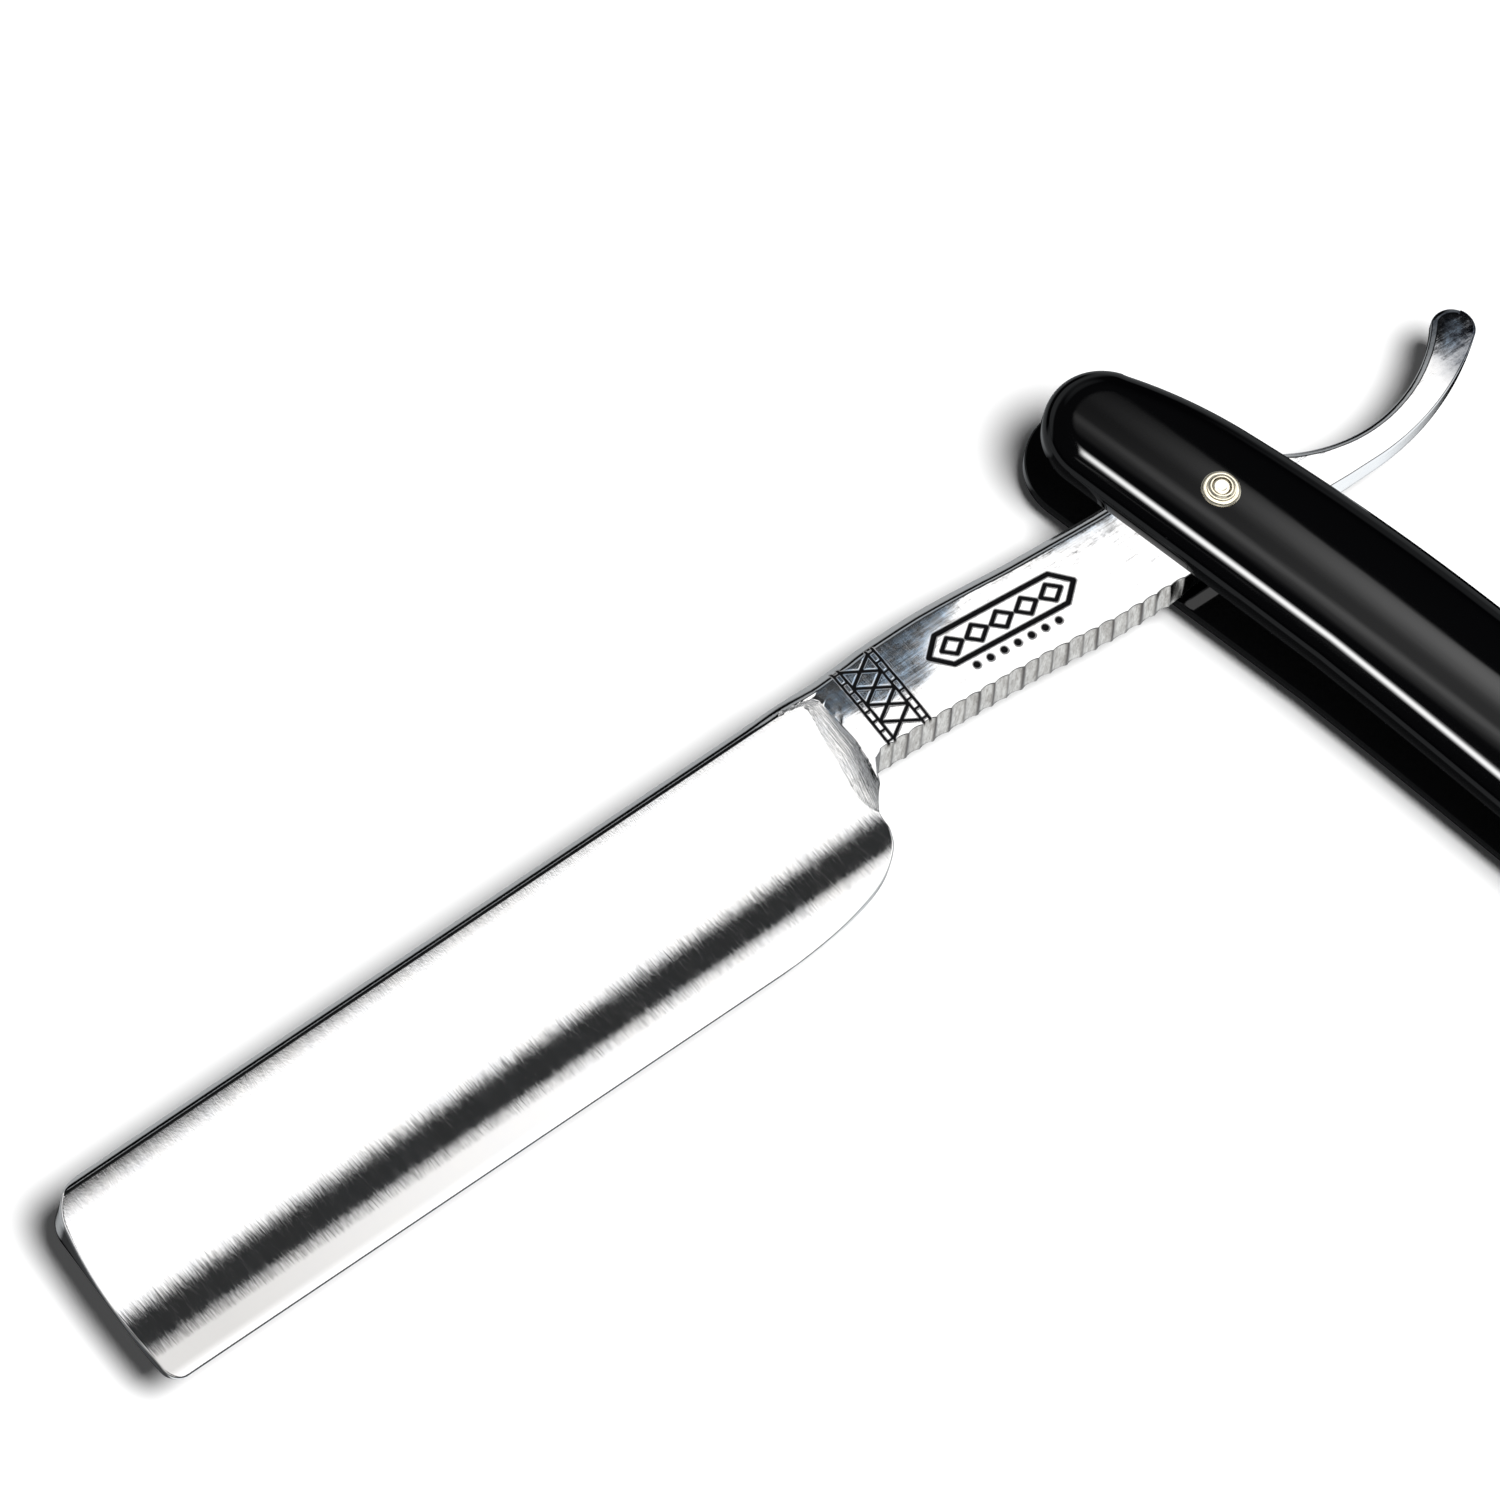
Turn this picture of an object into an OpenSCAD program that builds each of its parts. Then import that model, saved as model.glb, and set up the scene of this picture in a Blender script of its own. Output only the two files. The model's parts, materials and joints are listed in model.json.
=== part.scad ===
// Folding straight razor: hollow-ground blade with shank, tang and tail,
// two curved scales, wedge, pivot pin and wedge pin with stacked washers.
// Millimetres, +Z up. Origin: pivot axis, on the plane the pivot collar rests on.
// +X runs from the pivot to the wedge end of the handle.

/* [Blade] */
// Width of the blade from the spine to the cutting edge
blade_w = 19.2; // [18.6:0.1:19.8]
// Thickness of the blade at the spine
spine_t = 5.1; // [4.8:0.1:5.2]
// Radius of the grinding wheel that leaves the hollow faces
hollow_r = 26; // [25:0.5:28]
// Thickness of the blade where the hollow is thinnest
web_t = 0.84; // [0.7:0.02:1.1]
// Thickness left along the cutting edge
edge_t = 0.1; // [0.06:0.02:0.2]
// Distance from the pivot to the end of the toe
toe_u = 122.06; // [118:0.5:123]
// Angle of the blade from the handle axis at rest
open_angle = 102.75; // [95:0.25:110]

/* [Shank and tail] */
// Thickness of the shank where it meets the shoulder
shank_t = 3.9; // [3.6:0.1:4.2]
// Thickness of the tang round the pivot
tang_t = 3.3; // [3.1:0.1:3.4]
// Thickness of the tail near its tip
tail_t = 2.5; // [2.2:0.1:2.8]
// Number of filed grooves under the shank
jimp_count = 21; // [10:1:22]
// Spacing of the filed grooves
jimp_pitch = 1.5; // [1.3:0.05:1.5]
// Depth of the filed grooves
jimp_depth = 0.28; // [0.15:0.01:0.35]

/* [Scales] */
// Thickness of a scale along its centre line
scale_t = 2.6; // [2.4:0.1:2.8]
// Clear gap between the scales at the pivot
gap = 5.6; // [5.4:0.1:6]
// Angle by which each scale closes in towards the wedge
scale_lean = 0.25; // [0:0.05:0.35]
// Length of the straight run behind the nose of the front scale
front_nose_extra = 0.2; // [0.2:0.1:0.5]
// Length of the straight run behind the nose of the back scale
back_nose_extra = 0.8; // [0.5:0.1:1]
// Radius of the crown across a scale
crown_r = 38; // [34:1:60]
// Height of the plain wall round the edge of a scale
rim_wall = 0.5; // [0.4:0.05:0.7]

/* [Pins and washers] */
// Diameter of the pivot pin and the wedge pin
pin_d = 1.55; // [1.4:0.05:1.6]
// Outer diameter of the base washers
base_washer_d = 3.34; // [3:0.02:3.6]
// Thickness of the base washers
base_washer_t = 0.3; // [0.25:0.01:0.35]
// Outer diameter of the collars over the base washers
collar_d = 2.5; // [2.3:0.05:2.7]
// Thickness of the collars
collar_t = 0.35; // [0.3:0.01:0.4]
// Outer diameter of the washers between tang and scales
inner_washer_d = 5; // [4.5:0.1:6]
// Distance from the pivot to the wedge pin
wedge_pin_x = 133; // [131:0.5:134]

/* [Hidden] */

steel_c = [0.78, 0.79, 0.81];
black_c = [0.03, 0.03, 0.035];
nickel_c = [0.82, 0.76, 0.62];

fit = 0.02;          // radial room of the pins in the scales
run_fit = 0.03;      // radial room of the pivot pin in the tang
seat = 0.04;         // depth of the seats for the base washers
z_in_b = collar_t + base_washer_t + scale_t;   // inner face of the back scale
z_in_f = z_in_b + gap;                         // inner face of the front scale
z_mid = z_in_b + gap / 2;
z_top = z_in_f + z_in_b;
inner_washer_t = (gap - tang_t) / 2 - 0.15;

// blade outline, u along the blade from the pivot, v towards the edge
spine_v = -7;
edge_v = spine_v + blade_w;
toe_r = 72;
toe_c = [toe_u - toe_r, 9];
nose_r = 4;
nose_v = spine_v + nose_r;
nose_c = [toe_c[0] + sqrt(pow(toe_r - nose_r, 2) - pow(toe_c[1] - nose_v, 2)), nose_v];
tip_r = 1.6;
tip_v = edge_v - tip_r;
tip_c = [toe_c[0] + sqrt(pow(toe_r - tip_r, 2) - pow(tip_v - toe_c[1], 2)), tip_v];
heel_R = 27;
heel_r = 5;
heel_C = [55, edge_v - heel_R];
heel_c = [45.5, heel_C[1] + sqrt(pow(heel_R - heel_r, 2) - pow(55 - 45.5, 2))];
hollow_v = 4.2;      // line of the thinnest web
hollow_end = 39.4;   // where the hollow runs out at the shoulder
hollow_fillet = 2.2;

// tail arcs
tail_out_c = [-14.8, -21.1];
tail_out_r = 25.15;
tail_in_c = [-15.9, -13.3];
tail_in_r = 14.65;
tail_tip_c = [-27.95, -1.94];
tail_tip_r = 1.91;

// scale outline arcs
up_x = 22;           // highest point of the upper edge
up_y = 8;
up_r1 = 190;         // ahead of it
up_r2 = 620;         // behind it
B1 = [up_x, up_y - up_r1];
B2 = [up_x, up_y - up_r2];
n_r = 5.45;
n_c = [-10.6, -1.45];
s_r = 40;            // arc that joins the nose to the upper edge
nb = B1 - n_c;
nb_d = norm(nb);
nb_u = nb / nb_d;
s_a = (pow(s_r - n_r, 2) - pow(up_r1 - s_r, 2) + pow(nb_d, 2)) / (2 * nb_d);
s_h = sqrt(pow(s_r - n_r, 2) - pow(s_a, 2));
s_c = n_c + s_a * nb_u + s_h * [-nb_u[1], nb_u[0]];
s_t1 = n_c + n_r * (n_c - s_c) / (s_r - n_r);
s_t2x = B1[0] + up_r1 * (s_c[0] - B1[0]) / (up_r1 - s_r);
waist_x = 15.3;      // where the lower edge turns
low_r = 1730;
low_cx = -38;
low_cy = -5.58 - low_r;
low_y = low_cy + sqrt(pow(low_r, 2) - pow(waist_x - low_cx, 2));
function up_at(x) = B2[1] + sqrt(pow(up_r2, 2) - pow(x - B2[0], 2));
function low_at(x) = low_cy + sqrt(pow(low_r, 2) - pow(x - low_cx, 2));
end_x = 135.2;       // centre of the rounded wedge end
end_y = (up_at(end_x) + low_at(end_x)) / 2;
end_r = (up_at(end_x) - low_at(end_x)) / 2;
rim_r = scale_t + 0.1 - rim_wall;
crown_R = 900;
wedge_y = (up_at(wedge_pin_x) + low_at(wedge_pin_x)) / 2;
wedge_front = 124.6;
wedge_inset = 0.5;

// ---------------------------------------------------------------- blade
module slab() { translate([0, 0, -4]) linear_extrude(height = 8) children(); }

module blade_plan() {
    difference() {
        union() {
            // blade body from heel to toe
            slab() difference() {
                intersection() {
                    translate(toe_c) circle(r = toe_r, $fn = 720);
                    translate([heel_C[0], spine_v])
                        square([toe_u - heel_C[0] + 1, blade_w]);
                }
                difference() {
                    polygon([nose_c, nose_c + [0, -9], nose_c + [9, -9],
                             nose_c + 9 * (nose_c - toe_c) / norm(nose_c - toe_c)]);
                    translate(nose_c) circle(r = nose_r, $fn = 96);
                }
                difference() {
                    polygon([tip_c, tip_c + [0, 5], tip_c + [5, 5],
                             tip_c + 5 * (tip_c - toe_c) / norm(tip_c - toe_c)]);
                    translate(tip_c) circle(r = tip_r, $fn = 64);
                }
            }
            // heel
            slab() translate(heel_c) circle(r = heel_r, $fn = 96);
            slab() intersection() {
                translate(heel_C) circle(r = heel_R, $fn = 360);
                polygon([heel_c, heel_c + 12 * (heel_c - heel_C) / norm(heel_c - heel_C),
                         [heel_C[0], edge_v + 2], [heel_C[0], 0], [heel_c[0] + 0.3, 0]]);
            }
            // shoulder, shank and tang
            slab() polygon([[heel_C[0] + 3, spine_v], [41, spine_v], [31.5, -7.45], [26.4, -7.38],
                     [17.5, -6.5], [7.7, -5.9], [-2, -5.75], [-17, -5.75], [-17, 2.6],
                     [-11.5, 3.6], [-9.5, 3.85], [6.4, 3.5], [37.6, 1.27], [40.3, 4.75],
                     [heel_c[0] + 1, 4.9], [heel_C[0] + 3, 4.9]]);
            // tail
            slab() intersection() {
                translate(tail_out_c) circle(r = tail_out_r, $fn = 360);
                polygon([tail_in_c, tail_in_c + 1.6 * (tail_tip_c - tail_in_c),
                         [-28, 10], [-10, 10], [-10, tail_in_c[1]]]);
            }
        }
        slab() translate(tail_in_c) circle(r = tail_in_r, $fn = 240);
    }
    slab() translate(tail_tip_c) circle(r = tail_tip_r, $fn = 64);
}

// thickness of the blank seen along the spine
module blade_side() {
    h = spine_t / 2;
    polygon([[-32, -tail_t / 2], [-16, -tail_t / 2 - 0.1], [-5, -tang_t / 2], [8, -tang_t / 2],
             [34, -shank_t / 2], [41.5, -h], [124, -h],
             [124, h], [41.5, h], [34, shank_t / 2], [8, tang_t / 2], [-5, tang_t / 2],
             [-16, tail_t / 2 + 0.1], [-32, tail_t / 2]]);
}

// one hollow face: wheel with a rounded corner, then the flat run to the edge
module hollow_cut() {
    w = web_t / 2;
    translate([hollow_end, hollow_v, hollow_r + w]) rotate([0, 90, 0])
        rotate_extrude($fn = 720)
            difference() {
                square([hollow_r, 90]);
                difference() {
                    translate([hollow_r - hollow_fillet, 0]) square([hollow_fillet + 1, hollow_fillet]);
                    translate([hollow_r - hollow_fillet, hollow_fillet]) circle(r = hollow_fillet, $fn = 64);
                }
            }
    translate([hollow_end, 0, 0]) rotate([90, 0, 90]) linear_extrude(height = 90)
        polygon([[hollow_v, w], [edge_v + 0.5, edge_t / 2 - 0.5 * (w - edge_t / 2) / (edge_v - hollow_v)],
                 [edge_v + 0.5, 4], [hollow_v, 4]]);
}

module spine_chamfer() {
    translate([38, 0, 0]) rotate([90, 0, 90]) linear_extrude(height = 90)
        polygon([[spine_v - 0.1, spine_t / 2 - 1.05], [spine_v - 0.1, spine_t / 2 + 0.2],
                 [spine_v + 0.75, spine_t / 2 + 0.2], [spine_v + 0.65, spine_t / 2]]);
}

module blade() {
    color(steel_c)
    translate([0, 0, z_mid]) rotate([0, 0, -open_angle])
    difference() {
        intersection() {
            union() blade_plan();
            translate([0, 20, 0]) rotate([90, 0, 0]) linear_extrude(height = 40) blade_side();
        }
        hollow_cut();
        mirror([0, 0, 1]) hollow_cut();
        spine_chamfer();
        mirror([0, 0, 1]) spine_chamfer();
        translate([0, 0, -4]) cylinder(r = pin_d / 2 + run_fit, h = 8, $fn = 64);
        // filed grooves
        for (i = [0:jimp_count - 1]) {
            u = 36.9 - i * jimp_pitch;
            v = 3.5 + (1.27 - 3.5) * (u - 6.4) / (37.6 - 6.4);
            translate([u, v + 1.1 - jimp_depth, -4]) cylinder(r = 1.1, h = 8, $fn = 48);
        }
    }
}

// --------------------------------------------------------------- scales
// disc whose upper rim is rounded over
module rim_disc(r, fn) {
    rotate_extrude($fn = fn) {
        square([r - rim_r, scale_t + 1]);
        square([r, rim_wall]);
        intersection() {
            translate([r - rim_r, rim_wall]) circle(r = rim_r, $fn = 96);
            translate([r - rim_r, 0]) square([rim_r, scale_t + 1]);
        }
    }
}

// cutter that leaves the same rounded rim on a hollow edge
module rim_cut(r, fn) {
    rotate_extrude($fn = fn) {
        translate([0, -1]) square([r, scale_t + 3]);
        difference() {
            translate([r, rim_wall]) square([rim_r, scale_t + 1]);
            translate([r + rim_r, rim_wall]) circle(r = rim_r, $fn = 96);
        }
    }
}

// straight lower edge from nose to waist, with the rounded rim
module lower_run() {
    p = [n_c[0], n_c[1] - n_r];
    q = [waist_x, low_y];
    a = atan2(q[1] - p[1], q[0] - p[0]);
    translate([p[0], p[1], 0]) rotate([0, 0, a]) translate([-3, 0, 0])
        rotate([90, 0, 90]) linear_extrude(height = 60) {
            translate([rim_r, 0]) square([40, scale_t + 1]);
            square([40, rim_wall]);
            intersection() {
                translate([rim_r, rim_wall]) circle(r = rim_r, $fn = 96);
                square([rim_r, scale_t + 1]);
            }
        }
}

// one scale lying on its flat inner face, crown up
module scale_blank(extra) {
    H = scale_t + 2;
    intersection() {
        union() {
            // nose
            intersection() {
                translate([n_c[0] - extra, n_c[1], 0]) rim_disc(n_r, 128);
                translate([-60, -40, -1]) cube([60 + n_c[0], 80, H + 2]);
            }
            intersection() {
                    translate([n_c[0] - extra, n_c[1] - n_r, 0])
                        rotate([90, 0, 90]) linear_extrude(height = extra) {
                            translate([rim_r, 0]) square([2 * (n_r - rim_r), scale_t + 1]);
                            square([2 * n_r, rim_wall]);
                            intersection() {
                                union() {
                                    translate([rim_r, rim_wall]) circle(r = rim_r, $fn = 96);
                                    translate([2 * n_r - rim_r, rim_wall]) circle(r = rim_r, $fn = 96);
                                }
                                square([2 * n_r, scale_t + 1]);
                            }
                        }
                    translate([n_c[0] - extra, -20, 0]) cube([extra, 40, H]);
                }
            // shoulder arc behind the nose
            intersection() {
                translate([s_c[0], s_c[1], 0]) rim_disc(s_r, 360);
                lower_run();
                linear_extrude(height = H)
                    polygon([n_c, n_c + 4 * (s_t1 - n_c), [s_t2x, 30], [s_t2x, -20], [n_c[0], -20]]);
            }
            // up to the waist
            intersection() {
                translate([B1[0], B1[1], 0]) rim_disc(up_r1, 720);
                lower_run();
                translate([s_t2x, -20, 0]) cube([20 - s_t2x, 50, H]);
            }
            // waist to the highest point
            difference() {
                intersection() {
                    translate([B1[0], B1[1], 0]) rim_disc(up_r1, 720);
                    translate([waist_x - 4, -30, 0]) cube([up_x - waist_x + 4, 60, H]);
                }
                translate([low_cx, low_cy, 0]) rim_cut(low_r, 1440);
            }
            // long curved run to the wedge end
            difference() {
                intersection() {
                    translate([B2[0], B2[1], 0]) rim_disc(up_r2, 1080);
                    translate([up_x, -40, 0]) cube([end_x - up_x, 60, H]);
                }
                translate([low_cx, low_cy, 0]) rim_cut(low_r, 1440);
            }
            // rounded wedge end
            translate([end_x, end_y, 0]) rim_disc(end_r, 128);
        }
        // crown
        translate([up_x, 0.5 - crown_R, scale_t - crown_r])
            rotate_extrude($fn = 1080) translate([crown_R, 0]) circle(r = crown_r, $fn = 180);
    }
}

module scale_holes() {
    for (p = [[0, 0], [wedge_pin_x, wedge_y]]) {
        translate([p[0], p[1], -1]) cylinder(r = pin_d / 2 + fit, h = scale_t + 3, $fn = 64);
        translate([p[0], p[1], scale_t - seat]) cylinder(r = base_washer_d / 2 + 0.01, h = 2, $fn = 96);
    }
}

module scale_front() {
    color(black_c)
    translate([0, 0, z_in_f]) rotate([0, scale_lean, 0])
        difference() { scale_blank(front_nose_extra); scale_holes(); }
}

module scale_back() {
    color(black_c)
    translate([0, 0, z_in_b]) rotate([0, -scale_lean, 0]) mirror([0, 0, 1])
        difference() { scale_blank(back_nose_extra); scale_holes(); }
}

// spacer that fills the gap between the scales at the far end
module wedge() {
    drop = tan(scale_lean);
    color(black_c)
    difference() {
        intersection() {
            linear_extrude(height = z_top)
                union() {
                    difference() {
                        intersection() {
                            translate(B2) circle(r = up_r2 - wedge_inset, $fn = 1080);
                            translate([wedge_front, -40]) square([end_x - wedge_front, 60]);
                        }
                        translate([low_cx, low_cy]) circle(r = low_r + wedge_inset, $fn = 1440);
                    }
                    translate([end_x, end_y]) circle(r = end_r - wedge_inset, $fn = 128);
                }
            translate([0, 20, 0]) rotate([90, 0, 0]) linear_extrude(height = 60)
                polygon([[100, z_in_b + 100 * drop], [150, z_in_b + 150 * drop],
                         [150, z_in_f - 150 * drop], [100, z_in_f - 100 * drop]]);
        }
        // scooped front that the toe folds up to
        translate([wedge_front - 9.2, up_at(wedge_front) - 6.2, -1]) cylinder(r = 10, h = z_top + 2, $fn = 128);
        translate([wedge_pin_x, wedge_y, -1]) cylinder(r = pin_d / 2 + fit, h = z_top + 2, $fn = 64);
    }
}

// ------------------------------------------------------ pins and washers
module pin(len) {
    r = pin_d / 2;
    difference() {
        rotate_extrude($fn = 96)
            polygon([[0, 0], [r - 0.12, 0], [r, 0.12], [r, len - 0.12], [r - 0.12, len], [0, len]]);
        translate([0, 0, -0.85]) sphere(r = 0.98, $fn = 64);
        translate([0, 0, len + 0.85]) sphere(r = 0.98, $fn = 64);
    }
}

module base_washer() {
    r = base_washer_d / 2;
    rotate_extrude($fn = 96)
        polygon([[pin_d / 2 + fit, -seat], [r, -seat], [r, 0.08], [r - 0.22, base_washer_t],
                 [pin_d / 2 + fit, base_washer_t]]);
}

module collar() {
    r = collar_d / 2;
    rotate_extrude($fn = 96)
        polygon([[pin_d / 2 + fit, 0], [r, 0], [r, collar_t - 0.2], [r - 0.22, collar_t],
                 [pin_d / 2 + fit, collar_t]]);
}

module inner_washer() {
    rotate_extrude($fn = 96)
        polygon([[pin_d / 2 + fit, 0], [inner_washer_d / 2, 0], [inner_washer_d / 2, inner_washer_t - 0.1],
                 [inner_washer_d / 2 - 0.1, inner_washer_t], [pin_d / 2 + fit, inner_washer_t]]);
}

wedge_drop = wedge_pin_x * tan(scale_lean);

module at_wedge_front() {
    translate([0, 0, z_in_f]) rotate([0, scale_lean, 0])
        translate([wedge_pin_x, wedge_y, scale_t]) children();
}

module at_wedge_back() {
    translate([0, 0, z_in_b]) rotate([0, -scale_lean, 0]) mirror([0, 0, 1])
        translate([wedge_pin_x, wedge_y, scale_t]) children();
}

module at_pivot_front() {
    translate([0, 0, z_in_f]) rotate([0, scale_lean, 0]) translate([0, 0, scale_t]) children();
}

module at_pivot_back() {
    translate([0, 0, z_in_b]) rotate([0, -scale_lean, 0]) mirror([0, 0, 1])
        translate([0, 0, scale_t]) children();
}

module pivot_pin() { color(nickel_c) translate([0, 0, 0.04]) pin(z_top - 0.08); }
module pivot_base_washer_front() { color(nickel_c) at_pivot_front() base_washer(); }
module pivot_base_washer_back() { color(nickel_c) at_pivot_back() base_washer(); }
module pivot_collar_front() { color(nickel_c) translate([0, 0, z_top - collar_t]) collar(); }
module pivot_collar_back() { color(nickel_c) translate([0, 0, collar_t]) mirror([0, 0, 1]) collar(); }
module pivot_inner_washer_front() {
    color(nickel_c) translate([0, 0, z_in_f - 0.02]) mirror([0, 0, 1]) inner_washer();
}
module pivot_inner_washer_back() { color(nickel_c) translate([0, 0, z_in_b + 0.02]) inner_washer(); }
module wedge_pin() {
    color(nickel_c) translate([wedge_pin_x, wedge_y, wedge_drop + 0.04]) pin(z_top - 2 * wedge_drop - 0.08);
}
module wedge_base_washer_front() { color(nickel_c) at_wedge_front() base_washer(); }
module wedge_base_washer_back() { color(nickel_c) at_wedge_back() base_washer(); }
module wedge_collar_front() {
    color(nickel_c) translate([wedge_pin_x, wedge_y, z_top - wedge_drop - collar_t]) collar();
}
module wedge_collar_back() {
    color(nickel_c) translate([wedge_pin_x, wedge_y, wedge_drop + collar_t]) mirror([0, 0, 1]) collar();
}

blade();
scale_front();
scale_back();
wedge();
pivot_pin();
pivot_base_washer_front();
pivot_base_washer_back();
pivot_collar_front();
pivot_collar_back();
pivot_inner_washer_front();
pivot_inner_washer_back();
wedge_pin();
wedge_base_washer_front();
wedge_base_washer_back();
wedge_collar_front();
wedge_collar_back();
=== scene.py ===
import bpy
import json
import math
import numpy as np
from mathutils import Matrix, Vector
from mathutils.kdtree import KDTree

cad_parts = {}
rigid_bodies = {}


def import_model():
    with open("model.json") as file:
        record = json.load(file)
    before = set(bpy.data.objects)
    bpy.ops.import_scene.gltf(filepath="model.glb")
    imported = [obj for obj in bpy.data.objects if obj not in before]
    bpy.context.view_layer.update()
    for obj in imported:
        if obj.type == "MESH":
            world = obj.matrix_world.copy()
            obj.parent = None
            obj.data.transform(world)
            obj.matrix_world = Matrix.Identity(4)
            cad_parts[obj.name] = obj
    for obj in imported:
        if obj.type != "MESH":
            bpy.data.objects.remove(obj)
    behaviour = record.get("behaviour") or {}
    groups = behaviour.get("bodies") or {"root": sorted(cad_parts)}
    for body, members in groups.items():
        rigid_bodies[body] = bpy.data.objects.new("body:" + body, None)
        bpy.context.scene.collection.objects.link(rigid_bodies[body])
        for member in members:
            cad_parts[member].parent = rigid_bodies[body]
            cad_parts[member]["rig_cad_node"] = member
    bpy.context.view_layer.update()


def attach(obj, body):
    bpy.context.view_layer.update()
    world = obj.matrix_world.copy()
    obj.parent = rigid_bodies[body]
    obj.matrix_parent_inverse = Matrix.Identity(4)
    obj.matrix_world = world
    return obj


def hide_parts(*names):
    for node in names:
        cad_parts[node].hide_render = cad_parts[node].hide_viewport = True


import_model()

MM = 0.001
Z_MID = 6.05
ANG = math.radians(-102.75)
UX = np.array([math.cos(ANG), math.sin(ANG)])
VX = np.array([-math.sin(ANG), math.cos(ANG)])


# ------------------------------------------------------------------ helpers
def smooth(a, b, x):
    t = np.clip((x - a) / (b - a), 0.0, 1.0)
    return t * t * (3 - 2 * t)


def arc(c, r, a0, a1, n):
    a = np.radians(np.linspace(a0, a1, n))
    return np.stack([c[0] + r * np.cos(a), c[1] + r * np.sin(a)], 1)


def resample(poly, s):
    """Points at the given shares of a polyline's length."""
    poly = np.asarray(poly, float)
    d = np.r_[0, np.cumsum(np.linalg.norm(np.diff(poly, axis=0), axis=1))]
    d /= d[-1]
    return np.stack([np.interp(s, d, poly[:, k]) for k in range(2)], 1)


def catmull(points, per=12):
    """A smooth curve through the points."""
    p = np.asarray(points, float)
    p = np.vstack([2 * p[0] - p[1], p, 2 * p[-1] - p[-2]])
    out = []
    for i in range(1, len(p) - 2):
        t = np.linspace(0, 1, per, endpoint=False)[:, None]
        a, b, c, d = p[i - 1], p[i], p[i + 1], p[i + 2]
        out.append(0.5 * (2 * b + (c - a) * t + (2 * a - 5 * b + 4 * c - d) * t ** 2
                          + (3 * b - a - 3 * c + d) * t ** 3))
    out.append(p[-2][None, :])
    return np.vstack(out)


def edge_distance(points, outline):
    """Distance of each point to a closed outline."""
    outline = np.asarray(outline, float)
    nxt = np.roll(outline, -1, axis=0)
    seg = np.linalg.norm(nxt - outline, axis=1)
    dense = []
    for a, b, l in zip(outline, nxt, seg):
        n = max(1, int(math.ceil(l / 0.05)))
        t = np.arange(n)[:, None] / n
        dense.append(a + (b - a) * t)
    dense = np.vstack(dense)
    tree = KDTree(len(dense))
    for i, q in enumerate(dense):
        tree.insert((q[0], q[1], 0.0), i)
    tree.balance()
    out = np.empty(len(points))
    nn = np.roll(dense, -1, axis=0)
    pp = np.roll(dense, 1, axis=0)
    for k, q in enumerate(points):
        _, i, d = tree.find((q[0], q[1], 0.0))
        best = d
        for other in (nn[i], pp[i]):
            e = other - dense[i]
            l2 = e[0] * e[0] + e[1] * e[1]
            if l2 > 1e-12:
                t = ((q[0] - dense[i][0]) * e[0] + (q[1] - dense[i][1]) * e[1]) / l2
                t = min(1.0, max(0.0, t))
                dx = q[0] - dense[i][0] - t * e[0]
                dy = q[1] - dense[i][1] - t * e[1]
                best = min(best, math.hypot(dx, dy))
        out[k] = best
    return out


def make_mesh(name, co_mm, faces, mat, body, nodes, attrs=None, sharp=None):
    me = bpy.data.meshes.new(name)
    co = np.asarray(co_mm, float) * MM
    me.vertices.add(len(co))
    me.vertices.foreach_set("co", co.astype(np.float32).ravel())
    sizes = np.array([len(f) for f in faces], np.int32)
    starts = np.r_[0, np.cumsum(sizes)[:-1]].astype(np.int32)
    me.loops.add(int(sizes.sum()))
    me.loops.foreach_set("vertex_index", np.concatenate([np.asarray(f, np.int32) for f in faces]))
    me.polygons.add(len(faces))
    me.polygons.foreach_set("loop_start", starts)
    me.update(calc_edges=True)
    me.validate()
    me.polygons.foreach_set("use_smooth", np.ones(len(me.polygons), bool))
    if sharp is not None:
        me.set_sharp_from_angle(angle=math.radians(sharp))
    for key, values in (attrs or {}).items():
        at = me.attributes.new(key, "FLOAT", "POINT")
        at.data.foreach_set("value", np.asarray(values, np.float32))
    me.materials.append(mat)
    o = bpy.data.objects.new(name, me)
    bpy.context.scene.collection.objects.link(o)
    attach(o, body)
    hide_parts(*nodes)
    return o


def quads(index):
    """Quads over a grid of vertex numbers."""
    a = index[:-1, :-1].ravel()
    b = index[1:, :-1].ravel()
    c = index[1:, 1:].ravel()
    d = index[:-1, 1:].ravel()
    return np.stack([a, b, c, d], 1)


# ---------------------------------------------------------------- materials
def new_mat(name):
    m = bpy.data.materials.new(name)
    m.use_nodes = True
    nt = m.node_tree
    p = nt.nodes["Principled BSDF"]
    return m, nt, p


def node(nt, kind, **values):
    n = nt.nodes.new(kind)
    for k, v in values.items():
        if hasattr(n, k):
            setattr(n, k, v)
        else:
            n.inputs[k].default_value = v
    return n


def mapping(nt, scale, rot=(0, 0, 0)):
    tc = nt.nodes.new("ShaderNodeTexCoord")
    mp = nt.nodes.new("ShaderNodeMapping")
    mp.vector_type = "TEXTURE"
    mp.inputs["Scale"].default_value = tuple(1.0 / c for c in scale)
    mp.inputs["Rotation"].default_value = rot
    nt.links.new(tc.outputs["Object"], mp.inputs["Vector"])
    return mp


def noise(nt, vec, scale, detail=2.0, rough=0.5):
    n = nt.nodes.new("ShaderNodeTexNoise")
    n.inputs["Scale"].default_value = scale
    n.inputs["Detail"].default_value = detail
    n.inputs["Roughness"].default_value = rough
    nt.links.new(vec.outputs[0], n.inputs["Vector"])
    return n


def ramp(nt, src, lo, hi, a=0.0, b=1.0):
    r = nt.nodes.new("ShaderNodeMapRange")
    r.inputs["From Min"].default_value = lo
    r.inputs["From Max"].default_value = hi
    r.inputs["To Min"].default_value = a
    r.inputs["To Max"].default_value = b
    r.clamp = True
    nt.links.new(src, r.inputs["Value"])
    return r


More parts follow.
